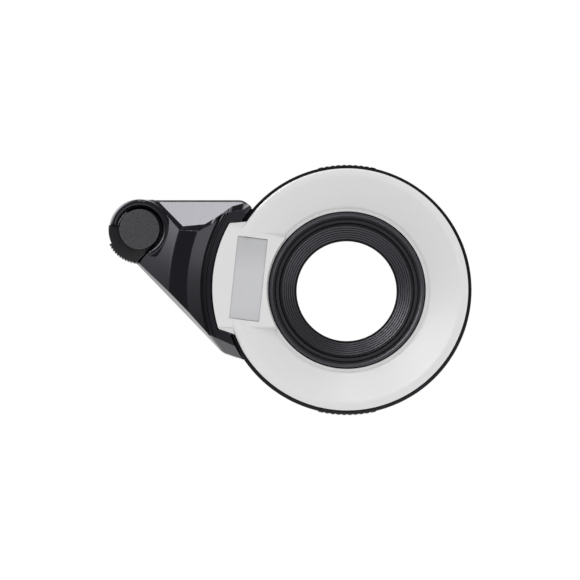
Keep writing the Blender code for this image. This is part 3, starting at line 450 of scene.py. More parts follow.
for screw in ("arm_screw_1", "arm_screw_2"):
    counterbore = disc(SCREW_HEAD_R + CLEAR, CUT_LOW, ARM_BACK_Z + ARM_BACK_T / 2, seat_of(screw))
    rear_arm = carved(rear_arm, counterbore)
drum = turned(softened([(DRUM_BORE_R, DRUM_Z - DRUM_T, 0.0), (DRUM_SEAT_R, DRUM_Z - DRUM_T, 0.0),
                        (DRUM_SEAT_R, DRUM_Z, 0.2), (DRUM_BORE_R, DRUM_Z, 0.0)]), 64, centre=KNOB)
housing = stand_up("rear_housing", merged(rear_arm, tray, drum), satin_black)
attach(housing, "body")
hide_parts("housing")

# Retaining ring and its screws
# A flat black ring screwed to the neck's end from behind; it keeps the lock ring on. Small steel screws.
KEEPER_R = 24.4
KEEPER_BORE_R = 18.2
KEEPER_Z = 2.4
KEEPER_TOP = 3.3
matt_black = moulded("matt_black", (0.0075, 0.0072, 0.0098), 0.42, 0.12, 0.16, 0.22)


def metal_haze_group():
    """Shared look of bare metal: a fine haze between two tones and over a range of gloss."""
    group, given, put_out = begun_look(
        "metal_haze", ("Dark", "Light", "Scale", "Roughness Low", "Roughness High"), ("Colour", "Roughness"))
    new = group.nodes.new
    link = group.links.new
    place = new("ShaderNodeTexCoord")
    haze = new("ShaderNodeTexNoise")
    haze.inputs["Detail"].default_value = 2.0
    link(place.outputs["Object"], haze.inputs["Vector"])
    link(given["Scale"], haze.inputs["Scale"])
    # A mix of colours has its two colours at 6 and 7 and its result at 2.
    tone = new("ShaderNodeMix")
    tone.data_type = "RGBA"
    link(haze.outputs["Fac"], tone.inputs[0])
    link(given["Dark"], tone.inputs[6])
    link(given["Light"], tone.inputs[7])
    link(tone.outputs[2], put_out["Colour"])
    limits = (given["Roughness Low"], given["Roughness High"])
    link(ranged(group, haze.outputs["Fac"], 0.0, 1.0, *limits), put_out["Roughness"])
    return group


METAL_HAZE = metal_haze_group()


def metal(name, scale, dark, light, gloss):
    """Bare metal, given by the scale of its haze, a dark and a light tone, and a range of gloss."""
    material = with_look(name, METAL_HAZE, {
        "Scale": scale, "Dark": (*dark, 1.0), "Light": (*light, 1.0),
        "Roughness Low": gloss[0], "Roughness High": gloss[1]})
    shader_inputs(material)["Metallic"].default_value = 1.0
    return material


steel = metal("turned_steel", 5000.0, (0.46, 0.46, 0.48), (0.68, 0.68, 0.69), (0.22, 0.4))


def cad_finish(node, material):
    """A node whose CAD shape is already right gets its finish only."""
    mesh = nodes[node].data
    mesh.materials.clear()
    mesh.materials.append(material)


keeper = stand_up("neck_keeper", turned(softened([
    (KEEPER_BORE_R, KEEPER_Z, 0.15), (KEEPER_R, KEEPER_Z, 0.15), (KEEPER_R, KEEPER_TOP, 0.0),
    (KEEPER_BORE_R, KEEPER_TOP, 0.0)]), RING_STEPS), matt_black)
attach(keeper, "body")
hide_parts("retaining_ring")
for i in range(3):
    cad_finish(f"retainer_screw_{i + 1}", steel)

# Lock ring
# The ribbed ring that is turned by hand to lock the part on the camera, in black plastic with a harder grip
# skin. Its two patches of ribs lie in line with those of the rim when it is locked.
LOCK_R = 29.85
LOCK_Z = 1.8
LOCK_TOP = 5.9
LOCK_EDGE = 0.4
LOCK_BORE_R = 22.9
LOCK_BACK_R = 24.7
RIB_END = 0.2
CHANNEL_IN_R = 24.9
CHANNEL_OUT_R = 28.4
CHANNEL_Z = 3.9
inside = softened([
    (LOCK_R - LOCK_EDGE, LOCK_TOP, 0.0), (CHANNEL_OUT_R, LOCK_TOP, 0.2), (CHANNEL_OUT_R, CHANNEL_Z, 0.0),
    (CHANNEL_IN_R, CHANNEL_Z, 0.0), (CHANNEL_IN_R, LOCK_TOP, 0.2), (LOCK_BORE_R, LOCK_TOP, 0.2),
    (LOCK_BORE_R, NECK_Z, 0.0), (LOCK_BACK_R, NECK_Z, 0.0), (LOCK_BACK_R, LOCK_Z, 0.2),
    (LOCK_R - LOCK_EDGE, LOCK_Z, 0.0)], closed=False, steps=3)
loops = []
for degrees in grip_turns():
    proud = grip(degrees)
    section = list(inside)
    for share in (0.0, 0.05, 0.12, 0.2, 0.8, 0.88, 0.95, 1.0):
        height = LOCK_Z + LOCK_EDGE + (LOCK_TOP - LOCK_Z - 2 * LOCK_EDGE) * share
        plain = LOCK_R - RING_DRAFT * (LOCK_TOP - height)
        end = 1.0 - min(1.0, min(share, 1.0 - share) / RIB_END)
        section.append((plain + proud * math.sqrt(1.0 - end ** 2), height))
    loops.append([polar(radius, degrees, height) for radius, height in section])
grip_black = moulded("grip_black", (0.0068, 0.0066, 0.0076), 0.3, 0.1, 0.14, 0.12)
lock_ring = stand_up("ribbed_lock_ring", stacked(loops, closed=True), grip_black, 50.0)
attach(lock_ring, "lock")
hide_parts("lock_ring")

# Bayonet plate and its screws
# The plate behind the lock ring, with three lugs that catch behind the camera's lens mount. Moulded in hard
# matt black plastic and held by three sunk steel screws with cross recesses.
PLATE_R = 28.4
PLATE_T = 1.5
PLATE_BORE_R = 19.6
LUG_R = 18.3
LUGS = 3
LUG_AZ = 90.0
LUG_ARC = 36.0
LUG_FLANK = 0.6
LUG_STEPS = 200
HEAD_SUNK = 1.05
HEAD_T = 0.45
SHANK_R = 0.5
CROSS_LONG = 0.62
CROSS_WIDE = 0.13
CROSS_DEEP = 0.26
CROSS_PAST = 0.2


def plate_bore(degrees):
    """The plate's bore at an angle: narrower at the three lugs, with short flanks."""
    spacing = 360.0 / LUGS
    off = abs((degrees - LUG_AZ + spacing / 2) % spacing - spacing / 2)
    share = min(1.0, max(0.0, (LUG_ARC / 2 + LUG_FLANK - off) / LUG_FLANK))
    return PLATE_BORE_R + (LUG_R - PLATE_BORE_R) * share


loops = []
for i in range(LUGS * LUG_STEPS):
    degrees = 360.0 * i / (LUGS * LUG_STEPS)
    bore = plate_bore(degrees)
    section = softened([
        (bore, 0.0, 0.15), (PLATE_R, 0.0, 0.4), (PLATE_R, PLATE_T, 0.0), (bore, PLATE_T, 0.1)], steps=3)
    loops.append([polar(radius, degrees, height) for radius, height in section])
plate = stacked(loops, closed=True)
for i in range(3):
    seat = seat_of(f"bayonet_screw_{i + 1}")
    plate = carved(plate, disc(SCREW_HEAD_R + CLEAR, -5.0, HEAD_SUNK, seat),
                   disc(SHANK_R + CLEAR, -5.0, 5.0, seat))
plate = stand_up("bayonet_plate_dressed", plate, matt_black)
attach(plate, "lock")
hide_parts("bayonet_plate")


def dressed_screw(node, body):
    """A pan-head screw with a cross recess, its head looking back, in the place of a plain CAD screw."""
    low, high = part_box(node)
    seat = seat_of(node)
    rear = -high.y / MM
    tip = -low.y / MM
    head = rear + HEAD_T
    profile = softened([(0.0, rear, 0.0), (SCREW_HEAD_R, rear, 0.35), (SCREW_HEAD_R, head, 0.06),
                        (SHANK_R, head, 0.0), (SHANK_R, tip, 0.15), (0.0, tip, 0.0)], closed=False)
    bm = turned(profile, 32, centre=seat)
    for turn in (20.0, 110.0):
        along = polar(CROSS_LONG, turn)
        aside = polar(CROSS_WIDE, turn + 90.0)
        outline = [seat + along + aside, seat - along + aside, seat - along - aside, seat + along - aside]
        bm = carved(bm, stacked(levels(outline, (rear - CROSS_PAST, rear + CROSS_DEEP))))
    piece = stand_up(node + "_dressed", bm, steel)
    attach(piece, body)
    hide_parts(node)


for i in range(3):
    dressed_screw(f"bayonet_screw_{i + 1}", "lock")

# Drag spring
# A bowed strip of spring steel between two pegs, which rubs inside the lock ring so that it doesn't rattle.
# It keeps its CAD shape.
cad_finish("drag_spring", steel)

# Ring reflector
# A thin white plastic liner laid on the floor of the tray, which sends stray light out through the white
# ring. It keeps its CAD shape.
white_liner = moulded("white_liner", (0.82, 0.82, 0.81), 0.55, 0.1, 0.3, 0.15, 0.02)
cad_finish("ring_reflector", white_liner)

# Baffle tube
# The black bore that the camera looks through: a rounded bead at the mouth, a plain wall and ledge, then a
# cone of fine steps that kills glare. Moulded in matt black plastic, glossier on the crests; the steps'
# treads, the gutter and wall by the ledge and the aperture's rim get a darker black as painted shade.
MOUTH_R = 19.05
DISH_LOW = 8.2
APERTURE_R = 12.15
BEAD_Z = DISH_LOW - 0.1
LEDGE_Z = BEAD_Z - 2.35
CONE_R = 16.15
CONE_LOW = BEAD_Z - 5.6
BAFFLE_R = 18.75
BEAD_R = 18.1
GUTTER_R = 17.6
GUTTER_DEEP = 0.22
LEDGE_OUT_R = 17.2
LEDGE_IN_R = 16.5
RIDGES = 7
TREAD = 0.58
TREAD_FALL = 0.52
RISER = 0.64
# The zone by the ledge and the rim round the aperture, where shade is painted in a darker black.
PAINTED_SHADE_R = (15.85, 17.72)
PAINTED_SHADE_Z = 5.0
PAINTED_SHADE_RIM = 0.25
FRONT_FACING = 0.9
bore_black = moulded("bore_black", (0.036, 0.035, 0.041), 0.36, 0.12, 0.1, 0.18)
shader_inputs(bore_black)["Specular IOR Level"].default_value = 0.6
shader_inputs(bore_black)["Specular Tint"].default_value = COOL_SHEEN
# A darker black, painted where the bore lies in shade.
bore_painted_shade = moulded("bore_painted_shade_black", (0.010, 0.0096, 0.0115), 0.6, 0.12, 0.1, 0.2)
shader_inputs(bore_painted_shade)["Specular IOR Level"].default_value = 0.1
bore_ledge = moulded("bore_ledge_black", (0.032, 0.031, 0.036), 0.5, 0.12, 0.1, 0.2)
shader_inputs(bore_ledge)["Specular IOR Level"].default_value = 0.32

corners = [(BAFFLE_R, SEAT_Z + CLEAR, 0.0), (BAFFLE_R, BEAD_Z, 0.37), (BEAD_R, BEAD_Z, 0.6),
           (GUTTER_R, LEDGE_Z - GUTTER_DEEP, 0.08), (GUTTER_R - 0.2, LEDGE_Z - GUTTER_DEEP, 0.08),
           (LEDGE_OUT_R, LEDGE_Z, 0.12), (LEDGE_IN_R, LEDGE_Z, 0.12),
           (LEDGE_IN_R - 0.18, LEDGE_Z - 0.44, 0.05)]
pitch = (CONE_R - APERTURE_R - 0.35) / RIDGES
drop = (LEDGE_Z - CONE_LOW - 0.2) / RIDGES
for i in range(RIDGES):
    radius = CONE_R - pitch * i
    height = LEDGE_Z - 0.1 - drop * i
    corners += [(radius, height, 0.05), (radius - pitch * TREAD, height - pitch * TREAD_FALL, 0.05),
                (radius - pitch * RISER, height - drop, 0.03)]
corners += [(APERTURE_R + 0.3, CONE_LOW + 0.1, 0.1), (APERTURE_R, CONE_LOW, 0.2),
            (APERTURE_R, CONE_LOW - 0.6, 0.1), (APERTURE_R + 1.2, CONE_LOW - 1.2, 0.2),
            (CONE_R + 1.2, NECK_Z, 0.0), (SEAT_R - CLEAR, NECK_Z, 0.0), (SEAT_R - CLEAR, SEAT_Z + CLEAR, 0.0)]
baffle = stand_up("baffle_tube_dressed", turned(softened(corners, steps=4), RING_STEPS), bore_black, 30.0)
baffle.data.materials.append(bore_painted_shade)
baffle.data.materials.append(bore_ledge)
# Painted shade: the gutter and wall by the ledge, the steps' treads and the aperture's rim take the darker
# black; the ledge's front face takes the ledge black.
for face in baffle.data.polygons:
    radius = math.hypot(face.center.x, face.center.z) / MM
    on_ledge = PAINTED_SHADE_R[0] < radius < PAINTED_SHADE_R[1] and -face.center.y / MM > PAINTED_SHADE_Z
    faces_front = -face.normal.y > FRONT_FACING
    on_tread = radius < PAINTED_SHADE_R[0] and faces_front
    if on_ledge and faces_front:
        face.material_index = 2
    elif on_ledge or on_tread or radius < APERTURE_R + PAINTED_SHADE_RIM:
        face.material_index = 1
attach(baffle, "body")
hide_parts("baffle_tube")

# Diffuser
# The white dished ring that spreads the light, with the raised bridge block that takes the light in from the
# arm. One moulding in opal white plastic with a fine matt face; it snaps into the tray.
DIFFUSER_R = 29.15
DIFFUSER_Z = 9.5
DISH_TOP = 12.6
DISH_OUT_R = 27.4
STEP_R = 20.25
STEP_IN_R = 19.68
SKIRT_R = 27.8
SKIRT_Z = 11.3
UNDER_R = 27.1
UNDER_Z = 11.1
HUB_R = 20.3
HUB_Z = 6.9
BLOCK_AZ = 174.0
BLOCK_R = 32.4
BLOCK_Z = 14.4
BLOCK_SLOPE = 0.33
BLOCK_HALF = 12.8
BLOCK_TAPER = 0.126
BLOCK_DRAFT = 0.4
BLOCK_DEEP = 4.5
BLOCK_IN = 19.4
BLOCK_ROUND = 0.5
BRIDGE_SPAN = (8.0, 45.0)
CUT_FAR = 60.0
FOOT_IN = 28.0
FOOT_DOWN = 0.35
FRAME_REACH = 19.63
FRAME_FLARE = 0.22
WINDOW_IN = 20.3
WINDOW_LONG = 7.2
WINDOW_HALF = 10.0
RECESS_DEEP = 2.0
RECESS_ABOVE = 3.0

dish_front = [(DIFFUSER_R, DIFFUSER_Z, 0.0), (DIFFUSER_R, DISH_TOP, 0.95), (DISH_OUT_R, DISH_TOP, 1.2),
              (STEP_R, DISH_LOW - 0.4, 0.4), (STEP_IN_R, DISH_LOW - 0.94, 0.25),
              (MOUTH_R, DISH_LOW - 0.76, 0.12)]
dish_back = [(MOUTH_R, HUB_Z, 0.0), (HUB_R, HUB_Z, 0.0), (UNDER_R, UNDER_Z, 0.0), (SKIRT_R, SKIRT_Z, 0.0),
             (SKIRT_R, DIFFUSER_Z, 0.0)]
dish = turned(softened(dish_front + dish_back, steps=8), RING_STEPS)


def block_top(u):
    return BLOCK_Z + (u - BLOCK_R) * BLOCK_SLOPE


def block_section(u):
    """One section straight across the bridge: drafted sides and rounded crests."""
    half = BLOCK_HALF + (u - BLOCK_R) * BLOCK_TAPER
    low = (half + BLOCK_DRAFT * BLOCK_DEEP, -BLOCK_DEEP, 0.0)
    side = softened([low, (half, 0.0, BLOCK_ROUND), (0.0, 0.0, 0.0)], closed=False)[:-1]
    across = [(-v, drop) for v, drop in side] + side[::-1]
    return [Vector((u, v, block_top(u) + drop)) for v, drop in across]


def foot_section(u):
    """One section of the low foot beside the bridge, which fills the frame of the arm from side to side."""
    half = FRAME_REACH - FRAME_FLARE * u - CLEAR
    top = block_top(u) - FOOT_DOWN
    deep = top - BLOCK_DEEP
    return [Vector((u, v, z)) for v, z in ((-half, deep), (-half, top), (half, top), (half, deep))]


turn_to_block = Matrix.Rotation(math.radians(BLOCK_AZ), 4, "Z")
beyond = turned([(BLOCK_R, CUT_LOW), (CUT_FAR, CUT_LOW), (CUT_FAR, CUT_TOP), (BLOCK_R, CUT_TOP)], RING_STEPS)
bridge = carved(stacked([block_section(u) for u in BRIDGE_SPAN]), beyond.copy(),
                disc(BLOCK_IN, CUT_LOW, CUT_TOP, steps=RING_STEPS), disc(CUT_FAR, CUT_LOW, TRAY_Z + CLEAR))
foot = carved(stacked([foot_section(u) for u in BRIDGE_SPAN]), beyond,
              disc(FOOT_IN, CUT_LOW, CUT_TOP, steps=RING_STEPS))
for piece in (bridge, foot):
    bmesh.ops.transform(piece, matrix=turn_to_block, verts=piece.verts)


def window_block(length_in, length_out, half, low, high):
    """A block along the bridge with sloping underside and top, given as depths below the bridge's own top."""
    loops = []
    for u in (length_in, length_out):
        loops.append([Vector((u, v, block_top(u) - depth)) for v, depth in (
            (-half, low), (half, low), (half, high), (-half, high))])
    bm = stacked(loops)
    bmesh.ops.transform(bm, matrix=turn_to_block, verts=bm.verts)
    return bm


recess = (WINDOW_IN, WINDOW_IN + WINDOW_LONG, WINDOW_HALF, RECESS_DEEP, -RECESS_ABOVE)
bridge = carved(bridge, window_block(*recess))
dish = carved(dish, window_block(*recess))
opal_white = moulded("opal_white", (0.772, 0.772, 0.774), 0.42, 0.08, 0.14, 0.05, 0.006)
diffuser = stand_up("opal_diffuser", merged(dish, bridge, foot), opal_white, 40.0)
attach(diffuser, "body")
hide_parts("diffuser")

# Light window
# The frosted pane in the bridge block, through which the block itself shines. Grey-tinted acrylic, set a
# little below the block's face with a hairline gap round it.
PANE_GAP = 0.1
PANE_SUNK = 0.22
PANE_LOW = 1.2
PANE_EDGE = 0.06
PANE_FADE = 0.88
PANE_PLAIN = 0.4
pane_in = WINDOW_IN
pane_out = WINDOW_IN + WINDOW_LONG
pane_half = WINDOW_HALF - PANE_GAP
loops = []
for inset, depth in ((0.0, PANE_LOW), (0.0, PANE_SUNK + PANE_EDGE), (PANE_EDGE, PANE_SUNK)):
    loops.append([Vector((u, v, block_top(u) - depth)) for u, v in (
        (pane_in + inset, inset - pane_half), (pane_out - inset, inset - pane_half),
        (pane_out - inset, pane_half - inset), (pane_in + inset, pane_half - inset))])
pane = stacked(loops)
bmesh.ops.transform(pane, matrix=turn_to_block, verts=pane.verts)


def dim_ends(material):
    """Darkens the pane a little towards its upper and lower ends, where less light reaches it."""
    tree = material.node_tree
    place = tree.nodes.new("ShaderNodeTexCoord")
    parts = tree.nodes.new("ShaderNodeSeparateXYZ")
    tree.links.new(place.outputs["Object"], parts.inputs["Vector"])
    along = computed(tree, "ABSOLUTE", parts.outputs["Z"])
    end = WINDOW_HALF * MM
    dimmed = tree.nodes.new("ShaderNodeVectorMath")
    dimmed.operation = "SCALE"
    tree.links.new(tree.nodes["Look"].outputs["Colour"], dimmed.inputs["Vector"])
    tree.links.new(ranged(tree, along, end * PANE_PLAIN, end, 1.0, PANE_FADE), dimmed.inputs["Scale"])
    tree.links.new(dimmed.outputs["Vector"], shader_inputs(material)["Base Color"])


frosted = moulded("frosted_acrylic", (0.61, 0.612, 0.634), 0.34, 0.1, 0.2, 0.08, 0.01)
dim_ends(frosted)
window = stand_up("frosted_window", pane, frosted)
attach(window, "body")
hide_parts("light_window")

# Arm reflector and inlet window
# Inside the arm a bright plate throws the camera's flash sideways into the ring; the flash's light comes in
# through a clear acrylic pane in the arm's back. Both keep their CAD shape.
bright_plate = metal("bright_plate", 400.0, (0.78, 0.78, 0.79), (0.9, 0.9, 0.9), (0.05, 0.14))
cad_finish("arm_reflector", bright_plate)
clear_acrylic = moulded("clear_acrylic", (0.82, 0.85, 0.88), 0.1, 0.05, 0.5, 0.02, 0.02)
shader_inputs(clear_acrylic)["Transmission Weight"].default_value = 0.85
cad_finish("inlet_window", clear_acrylic)

# Arm cover
# The front half of the arm: a glossy black moulded hood whose steps and facets run round the ring's axis,
# with a slanting top in a pocket and an open collar that guards the lever. Two screws hold it from behind.
COVER_Z = 7.7
FACE_Z = 17.9
BAND_R = 32.7
BAND_Z = 13.6
BEAD_IN = 33.98
BEAD_OUT = 34.82
BEAD_PROUD = 0.27
GROOVE_IN = 33.92
GROOVE_OUT = 35.22
GROOVE_TOP = 14.02
PLATEAU_IN = 38.4
PLATEAU_OUT = 42.5
PLATEAU_Z = 16.6
FALL_R = 68.0
FALL_RISE = math.tan(math.radians(28.2))
HOOD_START = 126.0
HOOD_SWEEP = 104.0
HOOD_CUT_TOP = 30.0
FRAME_IN = 10.0
FRAME_OUT = 45.0
SLOPE_RISE = math.tan(math.radians(32.6))
SLOPE_Y = 15.0
SLOPE_Z = 14.9
POCKET_EDGE = ((-50.0, 25.0), (-40.12, 13.74), (-35.73, 13.53), (-30.78, 16.52), (-29.58, 17.92),
               (-27.78, 18.42), (-25.38, 18.76), (-24.28, 19.4), (-22.8, 20.3), (-19.5, 24.7))
POCKET_FLOOR = ((-49.2, 25.1), (-39.49, 14.93), (-34.17, 15.46), (-30.0, 18.21), (-29.0, 19.07),
                (-27.62, 20.0), (-25.02, 20.75), (-24.0, 21.0), (-22.4, 21.8), (-20.5, 25.0))
POCKET_STEP = (0.15, 0.15, 0.15, 0.17, 0.17, 0.15, 0.15, 0.15, 0.15, 0.15)
POCKET_DROP = (0.16, 0.16, 0.16, 0.16, 0.16, 0.14, 0.14, 0.14, 0.14, 0.14)
POCKET_ROUND = ((1.0, 1.0), (0.75, 0.56), (0.5, 0.25), (0.25, 0.06), (0.0, -0.02))
POCKET_R = 31.4
TOP_EDGE = 0.5
TOP_STEEP = 2.2
TOP_BEND = 12
SHOULDER_FACET = (Vector((-25.1, 18.8, 0.0)), Vector((-22.2, 16.6, 0.0)), Vector((-20.5, 18.6, 0.0)),
                  Vector((-22.7, 20.5, 0.0)))
FACET_Z = 13.15
FACET_RISE = 0.5
FACET_WAY = Vector((0.77, -0.64, 0.0))
SIDE_DRAFT = 0.08
HEEL_DRAFT = 0.44
COLLAR_R = 7.35
COLLAR_BORE_R = 5.7
COLLAR_Z = 15.4
COLLAR_T = 2.0
COLLAR_DRAFT = 0.22
COLLAR_START = -63.5
COLLAR_END = 169.0
SLOT_END = 127.0
SLOT_BEND = 148.0
SLOT_START = COLLAR_END + 10.0
HOOK_LAP = 6.0
TAB_EDGE = 5.06
TAB_TURN = -45.0
OPENING_R = 17.0
FLAT = 0.9999

bead = [(BEAD_IN, BAND_Z - 0.12, 0.03), (BEAD_IN + 0.04, BAND_Z + BEAD_PROUD, 0.28),
        (BEAD_OUT - 0.04, BAND_Z + BEAD_PROUD, 0.28), (BEAD_OUT, BAND_Z - 0.5, 0.03)]
front_profile = softened([
    (RING_R + CLEAR, BAND_Z - 0.85, 0.0), (GROOVE_IN - 0.06, BAND_Z + 0.1, 0.1),
    (GROOVE_IN, BAND_Z - 0.12, 0.03), *bead,
    (GROOVE_OUT, BAND_Z - 0.5, 0.04), (GROOVE_OUT + 0.08, GROOVE_TOP, 0.06),
    (PLATEAU_IN, PLATEAU_Z, 0.28), (PLATEAU_OUT, PLATEAU_Z, 2.6),
    (FALL_R, PLATEAU_Z - (FALL_R - PLATEAU_OUT) * FALL_RISE, 0.0)], closed=False, steps=9)


def turned_height(radius):
    """Height of the hood's stepped surface at a radius from the ring's axis."""
    for (r0, z0), (r1, z1) in zip(front_profile, front_profile[1:]):
        if radius <= r1:
            return z0 + (z1 - z0) * (radius - r0) / max(r1 - r0, 1e-9)
    return front_profile[-1][1]


def slope_height(y):
    return SLOPE_Z - (y - SLOPE_Y) * SLOPE_RISE


def along_sides(values, count):
    """Values at the corners of an open outline, spread evenly along its sides."""
    spread = []
    for a, b in zip(values, values[1:]):
        spread += [a + (b - a) * (i / count) for i in range(count)]
    return spread + [values[-1]]


def slope_pocket():
    """The room above the slanting face: its floor, steep walls, and a small round at the hood's edge."""
    count = 24
    edge = along_sides([Vector(xy) for xy in POCKET_EDGE], count)
    floor = along_sides([Vector(xy) for xy in POCKET_FLOOR], count)
    shares = along_sides(POCKET_STEP, count)
    drops = along_sides(POCKET_DROP, count)
    rows = [[Vector((*q, slope_height(q.y))) for q in floor]]
    for way, fall in POCKET_ROUND:
        row = []
        for p, q, share, drop in zip(edge, floor, shares, drops):
            height = turned_height(max(p.length, POCKET_R)) - drop * fall
            row.append(Vector((*p.lerp(q, share * way), height)))
        rows.append(row)
    rows.append([Vector((*p, HOOD_CUT_TOP)) for p in edge])
    return stacked(rows)


def top_strip():
    """The room outside the steep strip that closes the slanting face along the arm's top edge."""
    line = arm_outline(COLLAR_R)[TOP_BEND:0:-1]
    loops = []
    for i, p in enumerate(line):
        along = line[min(i + 1, len(line) - 1)] - line[max(i - 1, 0)]
        inward = Vector((along.y, -along.x, 0.0)).normalized()
        inner = p + inward * TOP_EDGE
        outer = p - inward
        inner.z = slope_height(inner.y)
        outer.z = inner.z - TOP_STEEP * (TOP_EDGE + 1.0)
        loops.append([inner, outer, Vector((*outer.xy, HOOD_CUT_TOP)), Vector((*inner.xy, HOOD_CUT_TOP))])
    return stacked(loops)


def shoulder_facet():
    """The room above the small facet at the arm's shoulder, beside the ring."""
    first = SHOULDER_FACET[0]
    floor = [Vector((*p.xy, FACET_Z - FACET_RISE * (p - first).dot(FACET_WAY))) for p in SHOULDER_FACET]
    return stacked([floor, [Vector((*p.xy, HOOD_CUT_TOP)) for p in SHOULDER_FACET]])


def lever_room(points, top):
    """Room for the lever: an upright block over points given from the knob."""
    return stacked(levels([KNOB + p for p in points], (0.0, top)))


cover_rise = FACE_Z - COVER_Z
arm_top = arm_outline(COLLAR_R, 0.0, SIDE_DRAFT * cover_rise, HEEL_DRAFT * cover_rise)
arm_body = stacked(levels(arm_outline(COLLAR_R), (COVER_Z,)) + levels(arm_top, (FACE_Z,)))
steps_body = turned(front_profile + [(FALL_R, 0.0), (RING_R + CLEAR, 0.0)], 260, HOOD_START, HOOD_SWEEP)
hood = carved(arm_body, steps_body, operation="INTERSECT")

frame_room = stacked(levels([
    Vector((u, side * (FRAME_REACH - FRAME_FLARE * u), 0.0)) for u, side in (
        (FRAME_IN, -1.0), (FRAME_OUT, -1.0), (FRAME_OUT, 1.0), (FRAME_IN, 1.0))], (CUT_LOW, CUT_TOP)))
past_band = turned([(BAND_R, CUT_LOW), (CUT_FAR, CUT_LOW), (CUT_FAR, CUT_TOP), (BAND_R, CUT_TOP)], RING_STEPS)
frame_room = carved(frame_room, past_band)
bmesh.ops.transform(frame_room, matrix=turn_to_block, verts=frame_room.verts)
tab_end = polar(TAB_EDGE + CLEAR, TAB_TURN)
tab_way = polar(OPENING_R, TAB_TURN + 270.0)
lever_opening = lever_room(
    (Vector(), tab_end, tab_end + tab_way, tab_way, polar(OPENING_R, COLLAR_END)), HOOD_CUT_TOP)
lever_slot = lever_room(
    [Vector()] + [polar(OPENING_R, degrees) for degrees in (SLOT_START, SLOT_BEND, SLOT_END)],
    COLLAR_Z - COLLAR_T)
hood = carved(hood, frame_room, disc(COLLAR_BORE_R, 0.0, HOOD_CUT_TOP, KNOB, 96), lever_opening, lever_slot,
              slope_pocket(), top_strip(), shoulder_facet())

round_r = (COLLAR_R - COLLAR_DRAFT - COLLAR_BORE_R) / 2
round_mid = COLLAR_BORE_R + round_r
half_round = []
for i in range(21):
    around = math.pi * i / 20
    half_round.append((round_r * math.cos(around), COLLAR_Z - round_r + round_r * math.sin(around)))
crown = [(COLLAR_R, COLLAR_Z - COLLAR_T)] + [(round_mid + across, height) for across, height in half_round]
collar_wall = turned([(COLLAR_BORE_R, COVER_Z), (COLLAR_R, COVER_Z)] + crown, 72,
                     COLLAR_START, SLOT_END - COLLAR_START, KNOB)
collar_hook = turned([(COLLAR_BORE_R, COLLAR_Z - COLLAR_T)] + crown, 24,
                     SLOT_END - HOOK_LAP, COLLAR_END - SLOT_END + HOOK_LAP, KNOB)
collar_end = turned([(0.0, COVER_Z), (round_r, COVER_Z)] + half_round[:11], 40,
                    centre=KNOB + polar(round_mid, COLLAR_START))
cover = stand_up("arm_hood", merged(hood, collar_wall, collar_hook, collar_end), satin_black, 12.0)


def keep_flat(piece, facing):
    """Marks the edges of a piece's flat face sharp, so that it doesn't shade as if it were bent."""
    sharp = piece.data.attributes["sharp_edge"].data
    for face in piece.data.polygons:
        if face.normal.dot(facing) > FLAT:
            for corner in face.loop_indices:
                sharp[piece.data.loops[corner].edge_index].value = True


keep_flat(cover, Vector((0.0, -1.0, SLOPE_RISE)).normalized())
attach(cover, "body")
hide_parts("arm_cover")
for i in range(2):
    dressed_screw(f"arm_screw_{i + 1}", "body")

# Thumb lever
# A black moulded lever that turns in the collar: a round boss, a flat tab with a serrated edge for the thumb
# and a low lip under the collar's hook, and a shaft down to the shutter.
DISC_R = 4.8
SHAFT_R = 1.9
SHAFT_BORE_R = 0.8
SHAFT_Z = 4.4
TAB_ROOT_R = DISC_R * 0.8
TAB_R = 8.2
TAB_HEEL_R = 7.55
TAB_START = 170.7
LIP_R = 7.2
LIP_TURN = 3.2
TAB_GRIP = 205.0
TAB_TEETH = 11
TOOTH_DEEP = 0.35
TOOTH = ((0.15, 0.5), (0.3, 0.08), (0.45, 0.0), (0.6, 0.08), (0.75, 0.5), (0.95, 1.0))
TAB_Z = 13.1
LEVER_Z = 9.7
BOSS_TOP = 14.1
lever_black = moulded("lever_black", (0.0105, 0.01, 0.0125), 0.26, 0.1, 0.14, 0.16)


def tab_outline(inset):
    """The tab's edge seen from the front, drawn in by an inset: straight end, smooth heel, serrated arc."""
    tab_r = TAB_R - inset
    end = TAB_EDGE - inset
    last = 360.0 + TAB_TURN - math.degrees(math.acos(end / tab_r))
    start = TAB_START + math.degrees(inset / TAB_HEEL_R)
    outline = [polar(end, TAB_TURN)] + [polar(TAB_ROOT_R, degrees) for degrees in (17.0, 104.0, start)]
    outline += [polar(TAB_HEEL_R - inset, start + (TAB_GRIP - start) * i / 8) for i in range(9)]
    tooth = (last - TAB_GRIP) / TAB_TEETH
    for i in range(TAB_TEETH):
        for share, deep in TOOTH:
            outline.append(polar(tab_r - TOOTH_DEEP * deep, TAB_GRIP + tooth * (i + share)))
    outline[-1] = polar(tab_r, last)
    return [KNOB + p for p in outline]


tab = stacked([[p + Vector((0, 0, height)) for p in tab_outline(inset)] for inset, height in (
    (0.2, LEVER_Z), (0.0, LEVER_Z + 0.2), (0.0, TAB_Z - 0.3), (0.1, TAB_Z - 0.08), (0.3, TAB_Z))])
boss = turned(softened([(0.0, LEVER_Z + 0.1, 0.0), (DISC_R, LEVER_Z + 0.1, 0.0), (DISC_R, BOSS_TOP, 0.12),
                        (0.0, BOSS_TOP, 0.0)], closed=False), 96, centre=KNOB)
shaft = turned([(SHAFT_BORE_R, SHAFT_Z), (SHAFT_R, SHAFT_Z), (SHAFT_R, LEVER_Z + 0.3),
                (SHAFT_BORE_R, LEVER_Z + 0.3)], 48, centre=KNOB)
lip = turned([(TAB_ROOT_R, LEVER_Z + 0.2), (LIP_R, LEVER_Z + 0.2), (LIP_R, TAB_Z - 0.4),
              (TAB_ROOT_R, TAB_Z - 0.4)], 8, TAB_START - LIP_TURN, 3 * LIP_TURN, KNOB)
lever = stand_up("thumb_lever", merged(tab, lip, boss, shaft), lever_black, 35.0)
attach(lever, "lever")
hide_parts("lever")

